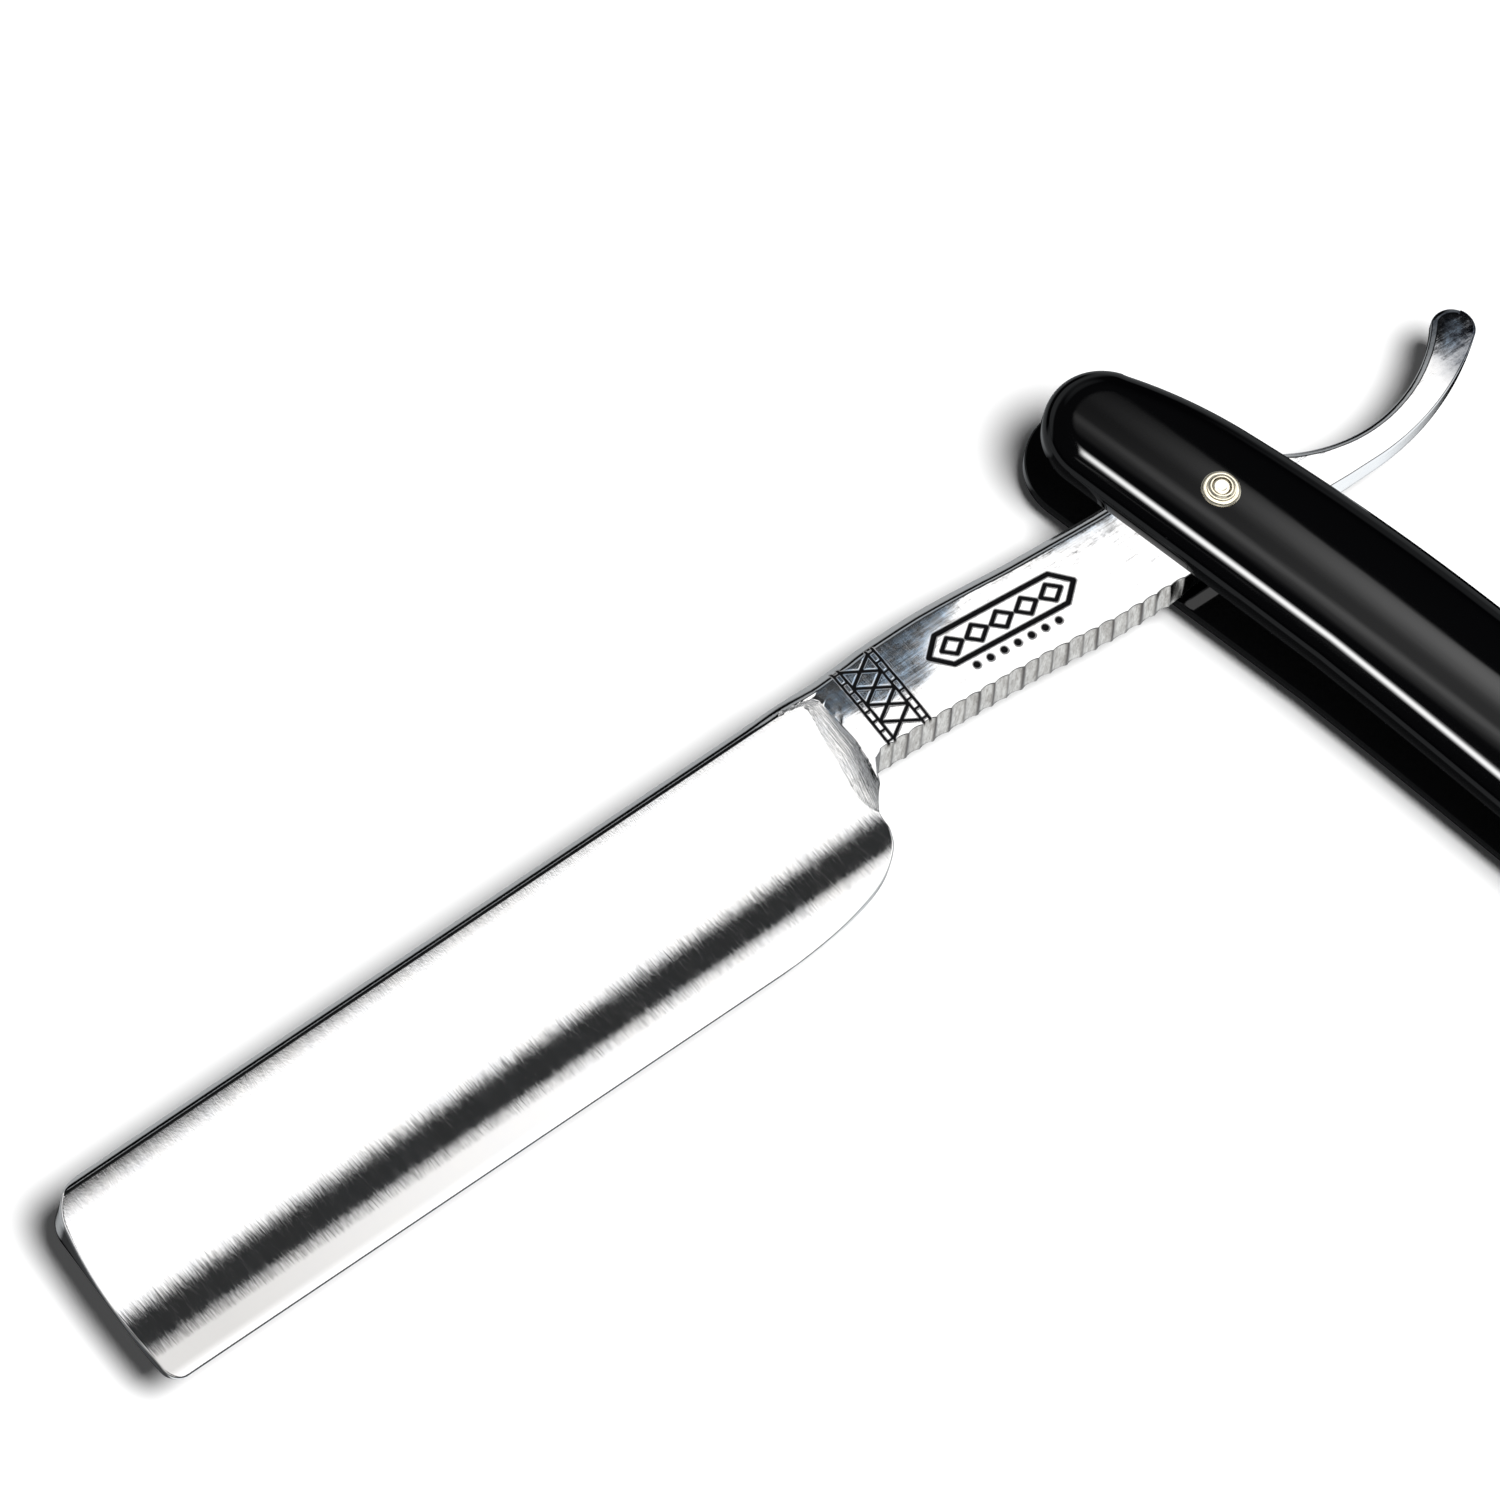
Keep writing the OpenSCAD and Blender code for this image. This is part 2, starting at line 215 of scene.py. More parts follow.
def math_node(nt, op, a, b):
    m = nt.nodes.new("ShaderNodeMath")
    m.operation = op
    for i, x in enumerate((a, b)):
        if isinstance(x, (int, float)):
            m.inputs[i].default_value = x
        else:
            nt.links.new(x, m.inputs[i])
    return m.outputs[0]


def mix_color(nt, fac, a, b):
    m = nt.nodes.new("ShaderNodeMix")
    m.data_type = "RGBA"
    if isinstance(fac, (int, float)):
        m.inputs["Factor"].default_value = fac
    else:
        nt.links.new(fac, m.inputs["Factor"])
    for sock, x in ((m.inputs[6], a), (m.inputs[7], b)):
        if isinstance(x, tuple):
            sock.default_value = x
        else:
            nt.links.new(x, sock)
    return m.outputs[2]


def steel():
    """Ground and polished steel: fine cross grain, faint blotches, dark etched marks, rough filed wall."""
    m, nt, p = new_mat("blade_steel")
    L = nt.links.new
    turn = (0, 0, ANG)
    across = mapping(nt, (1, 0.03, 1), turn)     # streaks that run across the blade
    along = mapping(nt, (0.05, 1, 1), turn)      # streaks that run along it
    grain = noise(nt, across, 12000, 2.0, 0.6)
    grain2 = noise(nt, across, 900, 3.0, 0.6)
    lines = noise(nt, along, 2600, 2.0, 0.6)
    blot = noise(nt, mapping(nt, (1, 1, 1), turn), 260, 4.0, 0.65)
    mott = noise(nt, mapping(nt, (0.6, 1, 1), turn), 1300, 4.0, 0.75)
    shank = nt.nodes.new("ShaderNodeAttribute")
    shank.attribute_name = "shank"
    etch = nt.nodes.new("ShaderNodeAttribute")
    etch.attribute_name = "etch"
    filed = nt.nodes.new("ShaderNodeAttribute")
    filed.attribute_name = "filed"
    slope_tint = nt.nodes.new("ShaderNodeAttribute")
    slope_tint.attribute_name = "slope_tint"
    base = mix_color(nt, ramp(nt, blot.outputs["Fac"], 0.35, 0.7).outputs[0],
                     (0.86, 0.86, 0.87, 1), (0.90, 0.885, 0.87, 1))
    # a mottled blue-grey tint on the shank's and tail's upper part, set by how steeply the face falls towards the spine
    m1 = ramp(nt, mott.outputs["Fac"], 0.38, 0.60, 0.20, 1.0)
    m2 = math_node(nt, "MULTIPLY", m1.outputs[0], slope_tint.outputs["Fac"])
    base = mix_color(nt, m2, base, (0.50, 0.62, 0.76, 1))
    # painted shade: a darker strip along the edge that deepens towards the toe
    edge_shade = nt.nodes.new("ShaderNodeAttribute")
    edge_shade.attribute_name = "edge_shade"
    base = mix_color(nt, edge_shade.outputs["Fac"], base, (0.55, 0.54, 0.53, 1))
    # the tail's end is darker, near-black blue, mottled
    tip_d = nt.nodes.new("ShaderNodeAttribute")
    tip_d.attribute_name = "tip_d"
    t2 = math_node(nt, "MULTIPLY", tip_d.outputs["Fac"], ramp(nt, mott.outputs["Fac"], 0.30, 0.62, 1.05, 0.72).outputs[0])
    t2 = math_node(nt, "MINIMUM", t2, 1.0)
    base = mix_color(nt, t2, base, (0.045, 0.06, 0.085, 1))
    # filed wall: warm grey, with painted shade as dark bands where neighbouring grooves meet
    f1 = ramp(nt, noise(nt, mapping(nt, (1, 1, 0.25), turn), 2600, 3.0, 0.75).outputs["Fac"], 0.36, 0.64)
    fc = mix_color(nt, f1.outputs[0], (0.36, 0.335, 0.31, 1), (0.66, 0.635, 0.60, 1))
    gr = nt.nodes.new("ShaderNodeAttribute")
    gr.attribute_name = "gro"
    fc = mix_color(nt, ramp(nt, gr.outputs["Fac"], 0.0, 0.55).outputs[0], (0.085, 0.075, 0.07, 1), fc)
    base = mix_color(nt, filed.outputs["Fac"], base, fc)
    base = mix_color(nt, etch.outputs["Fac"], base, (0.004, 0.004, 0.0045, 1))
    L(base, p.inputs["Base Color"])
    metal = math_node(nt, "SUBTRACT", 1.0, etch.outputs["Fac"])
    metal = math_node(nt, "SUBTRACT", metal, math_node(nt, "MULTIPLY", m2, 0.03))
    metal = math_node(nt, "MAXIMUM", metal, 0.0)
    L(metal, p.inputs["Metallic"])
    L(ramp(nt, etch.outputs["Fac"], 0.0, 1.0, 0.5, 0.03).outputs[0], p.inputs["Specular IOR Level"])
    rough = math_node(nt, "ADD", ramp(nt, grain.outputs["Fac"], 0.38, 0.62, 0.030, 0.075).outputs[0],
                      ramp(nt, grain2.outputs["Fac"], 0.38, 0.62, 0.0, 0.025).outputs[0])
    rough = math_node(nt, "ADD", rough, math_node(nt, "MULTIPLY", slope_tint.outputs["Fac"], 0.06))
    rough = math_node(nt, "ADD", rough, math_node(nt, "MULTIPLY", filed.outputs["Fac"], 0.16))
    rough = math_node(nt, "ADD", rough, math_node(nt, "MULTIPLY", etch.outputs["Fac"], 0.4))
    L(rough, p.inputs["Roughness"])
    b1 = nt.nodes.new("ShaderNodeBump")
    b1.inputs["Strength"].default_value = 0.10
    b1.inputs["Distance"].default_value = 0.00004
    gs = math_node(nt, "ADD", grain.outputs["Fac"], math_node(nt, "MULTIPLY", grain2.outputs["Fac"], 2.0))
    L(gs, b1.inputs["Height"])
    b2 = nt.nodes.new("ShaderNodeBump")
    b2.inputs["Strength"].default_value = 0.05
    b2.inputs["Distance"].default_value = 0.00004
    hs = math_node(nt, "MULTIPLY", math_node(nt, "ADD", lines.outputs["Fac"], mott.outputs["Fac"]), shank.outputs["Fac"])
    L(hs, b2.inputs["Height"])
    L(b1.outputs[0], b2.inputs["Normal"])
    # grinding lines that follow the curved end of the hollow
    fx = nt.nodes.new("ShaderNodeAttribute")
    fx.attribute_name = "fil_x"
    fm = nt.nodes.new("ShaderNodeAttribute")
    fm.attribute_name = "fil_m"
    sep = nt.nodes.new("ShaderNodeSeparateXYZ")
    L(mapping(nt, (1, 1, 1), turn).outputs[0], sep.inputs[0])
    cmb = nt.nodes.new("ShaderNodeCombineXYZ")
    L(math_node(nt, "MULTIPLY", fx.outputs["Fac"], 5.0), cmb.inputs[0])
    L(math_node(nt, "MULTIPLY", sep.outputs["Y"], 220.0), cmb.inputs[1])
    fn = nt.nodes.new("ShaderNodeTexNoise")
    fn.inputs["Scale"].default_value = 1.0
    fn.inputs["Detail"].default_value = 3.0
    fn.inputs["Roughness"].default_value = 0.7
    L(cmb.outputs[0], fn.inputs["Vector"])
    b3 = nt.nodes.new("ShaderNodeBump")
    b3.inputs["Strength"].default_value = 1.0
    b3.inputs["Distance"].default_value = 0.00015
    L(math_node(nt, "MULTIPLY", fn.outputs["Fac"], fm.outputs["Fac"]), b3.inputs["Height"])
    L(b2.outputs[0], b3.inputs["Normal"])
    # every scratch leans the face a little
    lean_g = math_node(nt, "ADD", math_node(nt, "MULTIPLY", math_node(nt, "SUBTRACT", grain.outputs["Fac"], 0.5), 0.046),
                       math_node(nt, "MULTIPLY", math_node(nt, "SUBTRACT", grain2.outputs["Fac"], 0.5), 0.003))
    lean_s = math_node(nt, "ADD", math_node(nt, "MULTIPLY", math_node(nt, "SUBTRACT", mott.outputs["Fac"], 0.5), 0.065),
                       math_node(nt, "MULTIPLY", math_node(nt, "SUBTRACT", lines.outputs["Fac"], 0.5), 0.04))
    lean_s = math_node(nt, "SUBTRACT", lean_s, lean_g)
    lean_all = math_node(nt, "ADD", lean_g, math_node(nt, "MULTIPLY", lean_s, shank.outputs["Fac"]))
    sc = nt.nodes.new("ShaderNodeVectorMath")
    sc.operation = "SCALE"
    sc.inputs[0].default_value = (float(VX[0]), float(VX[1]), 0.0)
    L(lean_all, sc.inputs["Scale"])
    ad = nt.nodes.new("ShaderNodeVectorMath")
    ad.operation = "ADD"
    L(b3.outputs[0], ad.inputs[0])
    L(sc.outputs[0], ad.inputs[1])
    un = nt.nodes.new("ShaderNodeVectorMath")
    un.operation = "NORMALIZE"
    L(ad.outputs[0], un.inputs[0])
    L(un.outputs[0], p.inputs["Normal"])
    return m


def black(name, rough=0.03, spec=0.5):
    m, nt, p = new_mat(name)
    L = nt.links.new
    sp = noise(nt, mapping(nt, (1, 1, 1)), 900, 2.0, 0.5)
    speck = ramp(nt, sp.outputs["Fac"], 0.80, 0.84)
    soft = noise(nt, mapping(nt, (0.3, 1, 1)), 90, 3.0, 0.6)
    L(mix_color(nt, speck.outputs[0], (0.0007, 0.0007, 0.0009, 1), (0.02, 0.02, 0.022, 1)), p.inputs["Base Color"])
    r = ramp(nt, soft.outputs["Fac"], 0.35, 0.7, rough, rough + 0.03)
    L(r.outputs[0], p.inputs["Roughness"])
    p.inputs["Specular IOR Level"].default_value = spec
    b = nt.nodes.new("ShaderNodeBump")
    b.inputs["Strength"].default_value = 0.05
    b.inputs["Distance"].default_value = 0.00005
    L(noise(nt, mapping(nt, (0.15, 1, 1)), 700, 2.0, 0.5).outputs["Fac"], b.inputs["Height"])
    L(b.outputs[0], p.inputs["Normal"])
    return m


def nickel(name, color=(0.83, 0.76, 0.60, 1), rough=0.16):
    m, nt, p = new_mat(name)
    L = nt.links.new
    n1 = noise(nt, mapping(nt, (1, 1, 1)), 1800, 3.0, 0.6)
    dark = tuple(c * 0.72 for c in color[:3]) + (1,)
    L(mix_color(nt, ramp(nt, n1.outputs["Fac"], 0.35, 0.75).outputs[0], color, dark), p.inputs["Base Color"])
    p.inputs["Metallic"].default_value = 1.0
    L(ramp(nt, n1.outputs["Fac"], 0.3, 0.7, rough, rough + 0.12).outputs[0], p.inputs["Roughness"])
    b = nt.nodes.new("ShaderNodeBump")
    b.inputs["Strength"].default_value = 0.15
    b.inputs["Distance"].default_value = 0.00002
    L(n1.outputs["Fac"], b.inputs["Height"])
    L(b.outputs[0], p.inputs["Normal"])
    return m


STEEL = steel()
BLACK = black("scale_black")
WEDGE = black("wedge_black", 0.22, 0.4)
NICKEL = nickel("washer_nickel")
PIN = nickel("pin_nickel", (0.86, 0.80, 0.66, 1), 0.12)
BRASS = nickel("inner_washer_brass", (0.72, 0.56, 0.28, 1), 0.24)


# -------------------------------------------------------------------- blade
SPINE_V = -7.1
EDGE_V = 12.2
TOE_C, TOE_R = (50.06, 9.0), 72.0
NOSE_R, TIP_R = 4.0, 1.6
HOLLOW_V = 3.7


def toe_curve(v):
    """u of the toe outline at v."""
    u = TOE_C[0] + np.sqrt(TOE_R ** 2 - (v - TOE_C[1]) ** 2)
    nv = SPINE_V + NOSE_R
    nu = TOE_C[0] + math.sqrt((TOE_R - NOSE_R) ** 2 - (TOE_C[1] - nv) ** 2)
    k = (nv - TOE_C[1]) / (TOE_R - NOSE_R)          # where the nose arc meets the toe arc
    vt = nv + NOSE_R * k
    un = nu + np.sqrt(np.maximum(NOSE_R ** 2 - (v - nv) ** 2, 0))
    u = np.where(v < vt, un, u)
    tv = EDGE_V - TIP_R
    tu = TOE_C[0] + math.sqrt((TOE_R - TIP_R) ** 2 - (tv - TOE_C[1]) ** 2)
    k = (tv - TOE_C[1]) / (TOE_R - TIP_R)
    vt = tv + TIP_R * k
    ut = tu + np.sqrt(np.maximum(TIP_R ** 2 - (v - tv) ** 2, 0))
    return np.where(v > vt, ut, u)


HEEL = catmull([(39.05, 2.95), (39.30, 3.50), (40.0, 4.55), (40.4, 5.45), (40.55, 6.7), (40.85, 7.45),
                (41.35, 8.3), (42.45, 9.3), (43.95, 10.2), (45.9, 10.93), (48.4, 11.5),
                (51.2, 11.9), (54.6, 12.14), (57.5, 12.2)], 10)
SEAM = np.array([(38.72, SPINE_V), (38.72, -5.15), (38.68, -4.26), (38.62, -2.3), (38.55, -0.54),
                 (38.70, 1.0), (38.85, 2.1), (39.05, 2.95)])
SEAM = catmull(SEAM, 10)
# where the hollow ends at the shank, and where its fillet has run out
EDGE_IN = np.array([(-6.22, 44.5), (-6.12, 42.2), (-5.98, 40.3), (-5.72, 39.2), (-5.15, 38.78), (-4.26, 38.68),
                    (-2.3, 38.62), (-0.54, 38.56), (1.4, 38.88), (3.05, 39.32), (4.6, 39.7), (5.4, 39.7),
                    (9.0, 39.7), (13, 39.7)])
FILLET_W = np.array([(-6.22, .4), (-5.98, .7), (-5.5, 1.1), (-1.95, 1.75), (0.46, 1.95),
                     (2.04, 1.9), (3.05, 1.65), (4.2, 1.15), (5.0, .75), (5.8, .3), (13, .1)])

# slope of the hollow face across the blade, then its height
_v = np.linspace(-9, 12.4, 2141)
_s = np.where(_v < HOLLOW_V, -(HOLLOW_V - _v) / np.sqrt(26.0 ** 2 - (HOLLOW_V - _v) ** 2), 0.0)
_belly = np.interp(_v, [3.7, 4.2, 4.6, 5.0, 5.4, 5.8, 6.2, 6.6, 7.0, 7.4, 7.8, 8.2, 8.6, 9.0, 9.4, 9.8, 10.6, 11.0, 12.08, 12.11, 12.3],
                   [0, .012, .020, .027, .036, .045, .058, .070, .076, .076, .068, .046, .034, .027, .022, 0.0, -.14, -.19, -.24, -.6, -.6])
_k = np.exp(-0.5 * (np.linspace(-3, 3, 41)) ** 2)
_belly = np.convolve(np.pad(_belly, 20, mode="edge"), _k / _k.sum(), "valid")
_s = _s + _belly
_z = np.r_[0, np.cumsum(0.5 * (_s[1:] + _s[:-1]) * np.diff(_v))]
_z += 0.06 - np.interp(EDGE_V, _v, _z)


def hollow(v):
    return np.interp(v, _v, _z)


SHANK_H = np.array([(-32, 1.25), (-16, 1.30), (-5, 1.65), (8, 1.65), (30, 1.90), (36, 2.00), (41, 2.32), (44, 2.50), (130, 2.55)])


def half_thick(u):
    return np.interp(u, SHANK_H[:, 0], SHANK_H[:, 1])


def under(u):
    """Underside of the shank before the grooves are filed."""
    return np.interp(u, [-20, 6.4, 12.9, 20.3, 26.1, 32.3, 37.3, 38.3], [3.6, 3.5, 3.21, 2.38, 1.94, 1.58, 1.33, 1.75])


def grooves(u):
    """Depth of the filed grooves: wide round grooves with narrow ridges between, slightly uneven."""
    d = np.zeros_like(u)
    for i in range(21):
        c = 36.75 - 1.5 * i + 0.07 * math.sin(i * 2.3)
        w = 0.72 + 0.03 * math.sin(i * 1.7)
        k = np.clip(1 - ((u - c) / w) ** 2, 0, None)
        d = np.maximum(d, (0.17 + 0.03 * math.sin(i * 3.1)) * k ** 0.75)
    return d


def build_blade():
    # rows: shares across the blank, close together near both walls
    near_a = np.array([0, .025, .07, .13, .2, .28, .37, .48, .6, .73, .87])
    near_b = np.array([0, .02, .05, .09, .14, .2, .28])
    W = 8.75
    n_mid = 106
    mid = np.linspace(near_a[-1] / W, 1 - near_b[-1] / W, n_mid)
    f = np.r_[near_a[:-1] / W, mid, (1 - near_b[::-1] / W)[1:]]
    J = len(f)

    # columns of the shank, tang and tail
    step = 0.075
    cols_a, cols_b = [], []
    n_tail = 70
    tail_a = arc((-15.9, -13.3), 14.65, 137.5, 31.2, n_tail)
    tail_b0 = arc((-14.8, -21.1), 25.15, 123.5, 90, 40)
    tail_b = np.vstack([tail_b0, [(-11.5, 4.02), (-8.0, 3.86), (-4.0, 3.72), (-1.5, 3.64)]])
    # share the outer side out so that the stations stay square to the tail
    tail_b = resample(tail_b, np.linspace(0, 1, n_tail) ** 1.02)
    tang_u = np.arange(-1.2, 5.4, 0.3)
    shank_u = np.arange(5.5, 38.3, step)
    top = catmull([(-6, -5.6), (-3.35, -5.72), (-1.2, -5.78), (2, -5.8), (7.7, -5.9), (13, -6.22), (17.5, -6.5), (21, -6.86),
                   (26.4, -7.36), (31.85, -7.5), (34.5, -7.36), (36.4, -7.25), (38.5, -7.14), (41.3, -7.1)], 12)

    def top_v(u):
        return np.interp(u, top[:, 0], top[:, 1])

    a_tang = np.stack([tang_u, top_v(tang_u)], 1)
    b_tang = np.stack([tang_u, np.interp(tang_u, [-1.5, 6.4], [3.64, 3.5])], 1)
    a_sh = np.stack([shank_u, top_v(shank_u)], 1)
    lean = -0.35 * smooth(30, 10, shank_u)          # a lean towards the tang, not applied: it is multiplied by zero below
    ub = shank_u + lean * 0
    b_sh = np.stack([ub, under(ub) - grooves(ub)], 1)
    A = np.vstack([tail_a, a_tang, a_sh])
    B = np.vstack([tail_b, b_tang, b_sh])
    # seam column
    seam = resample(SEAM, (SEAM_SHARE := f))
    A = np.vstack([A, seam[:1]])
    B = np.vstack([B, seam[-1:]])
    N = len(A)
    P = A[:, None, :] + (B - A)[:, None, :] * f[None, :, None]
    # interior rows ignore the grooves a little way in
    bulge = seam - (seam[0] + (seam[-1] - seam[0]) * f[:, None])
    w = smooth(34.5, seam[0, 0], A[:, 0])
    w[-1] = 1
    P += w[:, None, None] * bulge[None, :, :]
    # tail tip: columns that swell out to a round end
    tip_n = 16
    a0, b0 = A[0], B[0]
    mid_p = (a0 + b0) / 2
    rad = np.linalg.norm(b0 - a0) / 2
    axis = (b0 - a0) / (2 * rad)
    out_dir = np.array([-axis[1], axis[0]])
    if out_dir[0] > 0:
        out_dir = -out_dir
    tip = []
    for k in range(tip_n, 0, -1):
        s = math.sin(0.5 * math.pi * k / tip_n)
        ang = np.pi * f
        x = -np.cos(ang)
        y = np.sin(ang)
        xr = -1 + 2 * f
        x = xr + (x - xr) * s
        tip.append(mid_p + axis * rad * x[:, None] + out_dir * (rad * y * s)[:, None])
    P = np.concatenate([np.array(tip), P], 0)
    N = len(P)

    # head: rows of constant v
    v_t = seam[:, 1]
    extra = np.r_[np.arange(3.12, 11.4, 0.2), np.linspace(11.45, 12.05, 7), [12.1, 12.14, 12.17, 12.19, 12.2]]
    v_rows = np.r_[v_t, extra]
    K = len(v_rows)
    left = np.empty(K)
    left[:J] = seam[:, 0]
    left[J:] = np.interp(v_rows[J:], HEEL[:, 1], HEEL[:, 0])
    right = toe_curve(v_rows)
    ss = np.r_[0, .03, .08, np.arange(0.14, 3.6, 0.07), np.arange(3.75, 6, .3)]
    body = np.linspace(6.3, 77, 100)
    toe_in = np.array([1.6, 1.1, .8, .6, .42, .3, .2, .13, .07, .03, 0])
    M = len(ss) + len(body) + len(toe_in)
    H = np.empty((M, K, 2))
    ln = right - left
    span = 77.0
    for i, s in enumerate(ss):
        H[i, :, 0] = left + s
    for i, s in enumerate(body):
        t = (s - body[0]) / (span - body[0])
        l0 = left + ss[-1] + (ss[-1] - ss[-2])
        r0 = right - 2.2
        H[len(ss) + i, :, 0] = l0 + (r0 - l0) * t
    for i, s in enumerate(toe_in):
        H[len(ss) + len(body) + i, :, 0] = right - s
    H[:, :, 1] = v_rows[None, :]
    # the top row follows the spine outline
    lift = (top_v(H[:, 0, 0]) - SPINE_V) * smooth(42, 38.7, H[:, 0, 0])
    H[:, :, 1] += lift[:, None] * smooth(-3.5, SPINE_V, v_rows)[None, :]
    P[-1, :, :] = H[0, :J, :]

    # vertex numbers
    idx_t = np.arange(N * J).reshape(N, J)
    idx_h = np.empty((M, K), int)
    idx_h[0, :J] = idx_t[-1, :]
    cnt = N * J
    flat = [P.reshape(-1, 2)]
    idx_h[0, J:] = np.arange(cnt, cnt + K - J)
    cnt += K - J
    flat.append(H[0, J:, :])
    idx_h[1:, :] = np.arange(cnt, cnt + (M - 1) * K).reshape(M - 1, K)
    cnt += (M - 1) * K
    flat.append(H[1:].reshape(-1, 2))
    uv = np.vstack(flat)
    row_share = np.empty(cnt)
    row_share[idx_t] = f[None, :]
    row_share[idx_h] = ((v_rows - SPINE_V) / (EDGE_V - SPINE_V))[None, :]

    loop = list(idx_t[:, 0]) + list(idx_h[1:, 0]) + list(idx_h[-1, 1:]) + list(idx_h[::-1, -1][1:]) \
        + list(idx_h[0, J:][::-1][1:]) + list(idx_t[::-1, -1]) + list(idx_t[0, ::-1][1:-1])
    outline = uv[loop]
    delta = edge_distance(uv, outline)
    delta[loop] = 0.0

    u, v = uv[:, 0], uv[:, 1]
    head = np.zeros(cnt, bool)
    head[idx_h.ravel()] = True
    # uncut surface: barrel-faced shank and tail, flat-topped spine with a bevel
    hs = half_thick(u)
    share = row_share.copy()
    wh = smooth(37.0, 46.0, u)
    tilt, drop = shank_form(u, v)
    hsh = hs - drop * (1 - wh)
    r_a = np.full(cnt, 0.12)
    near_top = share < 0.5
    near_top = np.where(head, (v < -3) & (u < 116), near_top)
    r = np.where(near_top, r_a, 0.14)
    r = np.where(u < -6, np.where(share < 0.5, 0.12, 0.18), r)
    r = np.where(head & (u > 112), 0.22, r)
    chamfer = np.interp(np.where(u < -4, delta * 2.0, delta), [0, .42, .55, .68, .82, .96, 1.1], [.86, .40, .275, .165, .075, .02, 0])
    ch_w = np.where(near_top, 1.0, 0.0) * np.where(u < -4, 0.25, 1.0)
    hsh = hsh - chamfer * ch_w * (1 - wh)
    # spine bevel
    bevel = np.interp(v, [-7.3, -7.1, -6.68, -6.55, -6.42, -6.30, -6.18, -6.0], [1.35, 1.55, 2.02, 2.13, 2.215, 2.27, 2.295, 2.30])
    hsh = np.where(head & (v < -5.9), hsh * (1 - wh) + bevel * wh, hsh)
    cut = hollow(v)
    e_in = np.interp(v, EDGE_IN[:, 0], EDGE_IN[:, 1])
    e_out = e_in + np.interp(v, FILLET_W[:, 0], FILLET_W[:, 1])
    t = np.clip((u - e_in) / np.maximum(e_out - e_in, 0.05), 0, 1)
    fil_x = np.where(head, (u - e_in), 9.0)
    fil_m = np.where(head & (v > -6.2), smooth(0.0, 0.05, t) * smooth(1.0, 0.8, t), 0.0)
    g = 1 - np.sqrt(1 - (1 - t) ** 2)
    cut = cut + (np.maximum(hsh - cut, 0) + 0.02) * g
    cut = np.where((v < -6.22) | (~head), 9.0, cut)
    z = np.minimum(hsh, cut)
    z = np.maximum(z, 0.05)
    r = np.minimum(r, z * 0.85)
    d = np.minimum(delta, r)
    z = z - r + np.sqrt(np.maximum(r * r - (r - d) ** 2, 0))

    # etched band and stamped panel, cut into the front face only
    etch = np.zeros(cnt)
    depth = np.zeros(cnt)
    near = (u > 11) & (u < 38) & (v < 3.2)
    q = uv[near]
    e, dp = marks(q)
    etch[near] = e
    depth[near] = dp
    wall_dark = smooth(0.10, 0.0, delta) * (u > 5.5) * (u < 38.4) * (~near_top)
    filed = np.where((u > 5) & (u < 38.9) & (share > 0.5), smooth(0.10, 0.0, delta), 0.0)

    # groove depth; where it is low, the filed wall gets painted shade
    gro = np.where(filed > 0, grooves(u) / 0.19, 0.0)

    shank_zone = smooth(40, 38, u)
    shank_zone = np.where(head & (u > 38.5), 0.0, 1.0)
    # a mottled blue-grey tint where the face falls steeply towards the spine, away from the walls
    slope_tint = np.where(head & (u > 38.7), 0.0, smooth(0.016, 0.040, tilt) * smooth(0.75, 1.35, delta))

    # vertices: front face, back face, wall
    nf = cnt
    co = np.empty((2 * nf, 3))
    xy = u[:, None] * UX[None, :] + v[:, None] * VX[None, :]
    co[:nf, :2] = xy
    flare = 0.42 * ((u > 4.5) & (u < 38.9)) * smooth(4.5, 7, u) * smooth(38.9, 37.4, u) * np.where(head & (u > 38.72), 0, 1)
    fl = flare * smooth(0.80, 1.0, share)
    co[nf:, :2] = xy + fl[:, None] * VX[None, :]
    co[:nf, 2] = Z_MID + z - depth
    co[nf:, 2] = Z_MID - z
    loop = np.array(loop)
    # the wall between the two faces, with rows of its own
    wall_rows = 5
    wz = []
    jz = z[loop]
    bow = np.where((u[loop] > 5.5) & (u[loop] < 38.4) & (share[loop] > 0.5), 0.05, 0.0)
    nrm = np.roll(outline, -1, 0) - np.roll(outline, 1, 0)
    nrm = np.stack([nrm[:, 1], -nrm[:, 0]], 1) / np.maximum(np.linalg.norm(nrm, axis=1), 1e-9)[:, None]
    centre = np.array([60.0, 2.0])
    wall = []
    area = 0.5 * np.sum(outline[:, 0] * np.roll(outline[:, 1], -1) - outline[:, 1] * np.roll(outline[:, 0], -1))
    sgn = 1.0 if area > 0 else -1.0
    for k in range(wall_rows):
        t = (k + 1) / (wall_rows + 1) * 2 - 1
        o2 = outline + nrm * (sgn * bow * (1 - t * t))[:, None]
        o2[:, 1] += fl[loop] * (1 + t) / 2
        xy = o2[:, :1] * UX[None, :] + o2[:, 1:] * VX[None, :]
        wall.append(np.column_stack([xy, Z_MID - t * jz]))
    base = 2 * nf
    co = np.vstack([co] + wall)
    nl = len(loop)
    grid = np.vstack([loop[None, :]] + [base + k * nl + np.arange(nl)[None, :] for k in range(wall_rows)]
                     + [loop[None, :] + nf])
    grid = np.hstack([grid, grid[:, :1]])
    top_f = np.vstack([quads(idx_t), quads(idx_h)])
    wall_f = quads(grid)
    # orient: the front face looks up
    pa, pb, pc = co[top_f[0, 0]], co[top_f[0, 1]], co[top_f[0, 2]]
    up = np.cross(pb - pa, pc - pa)[2]
    k0 = len(top_f) // 2
    pa, pb, pc = co[top_f[k0, 0]], co[top_f[k0, 1]], co[top_f[k0, 2]]
    up = np.cross(pb - pa, pc - pa)[2]
    if up < 0:
        top_f = top_f[:, ::-1]
    low_f = top_f[:, ::-1] + nf
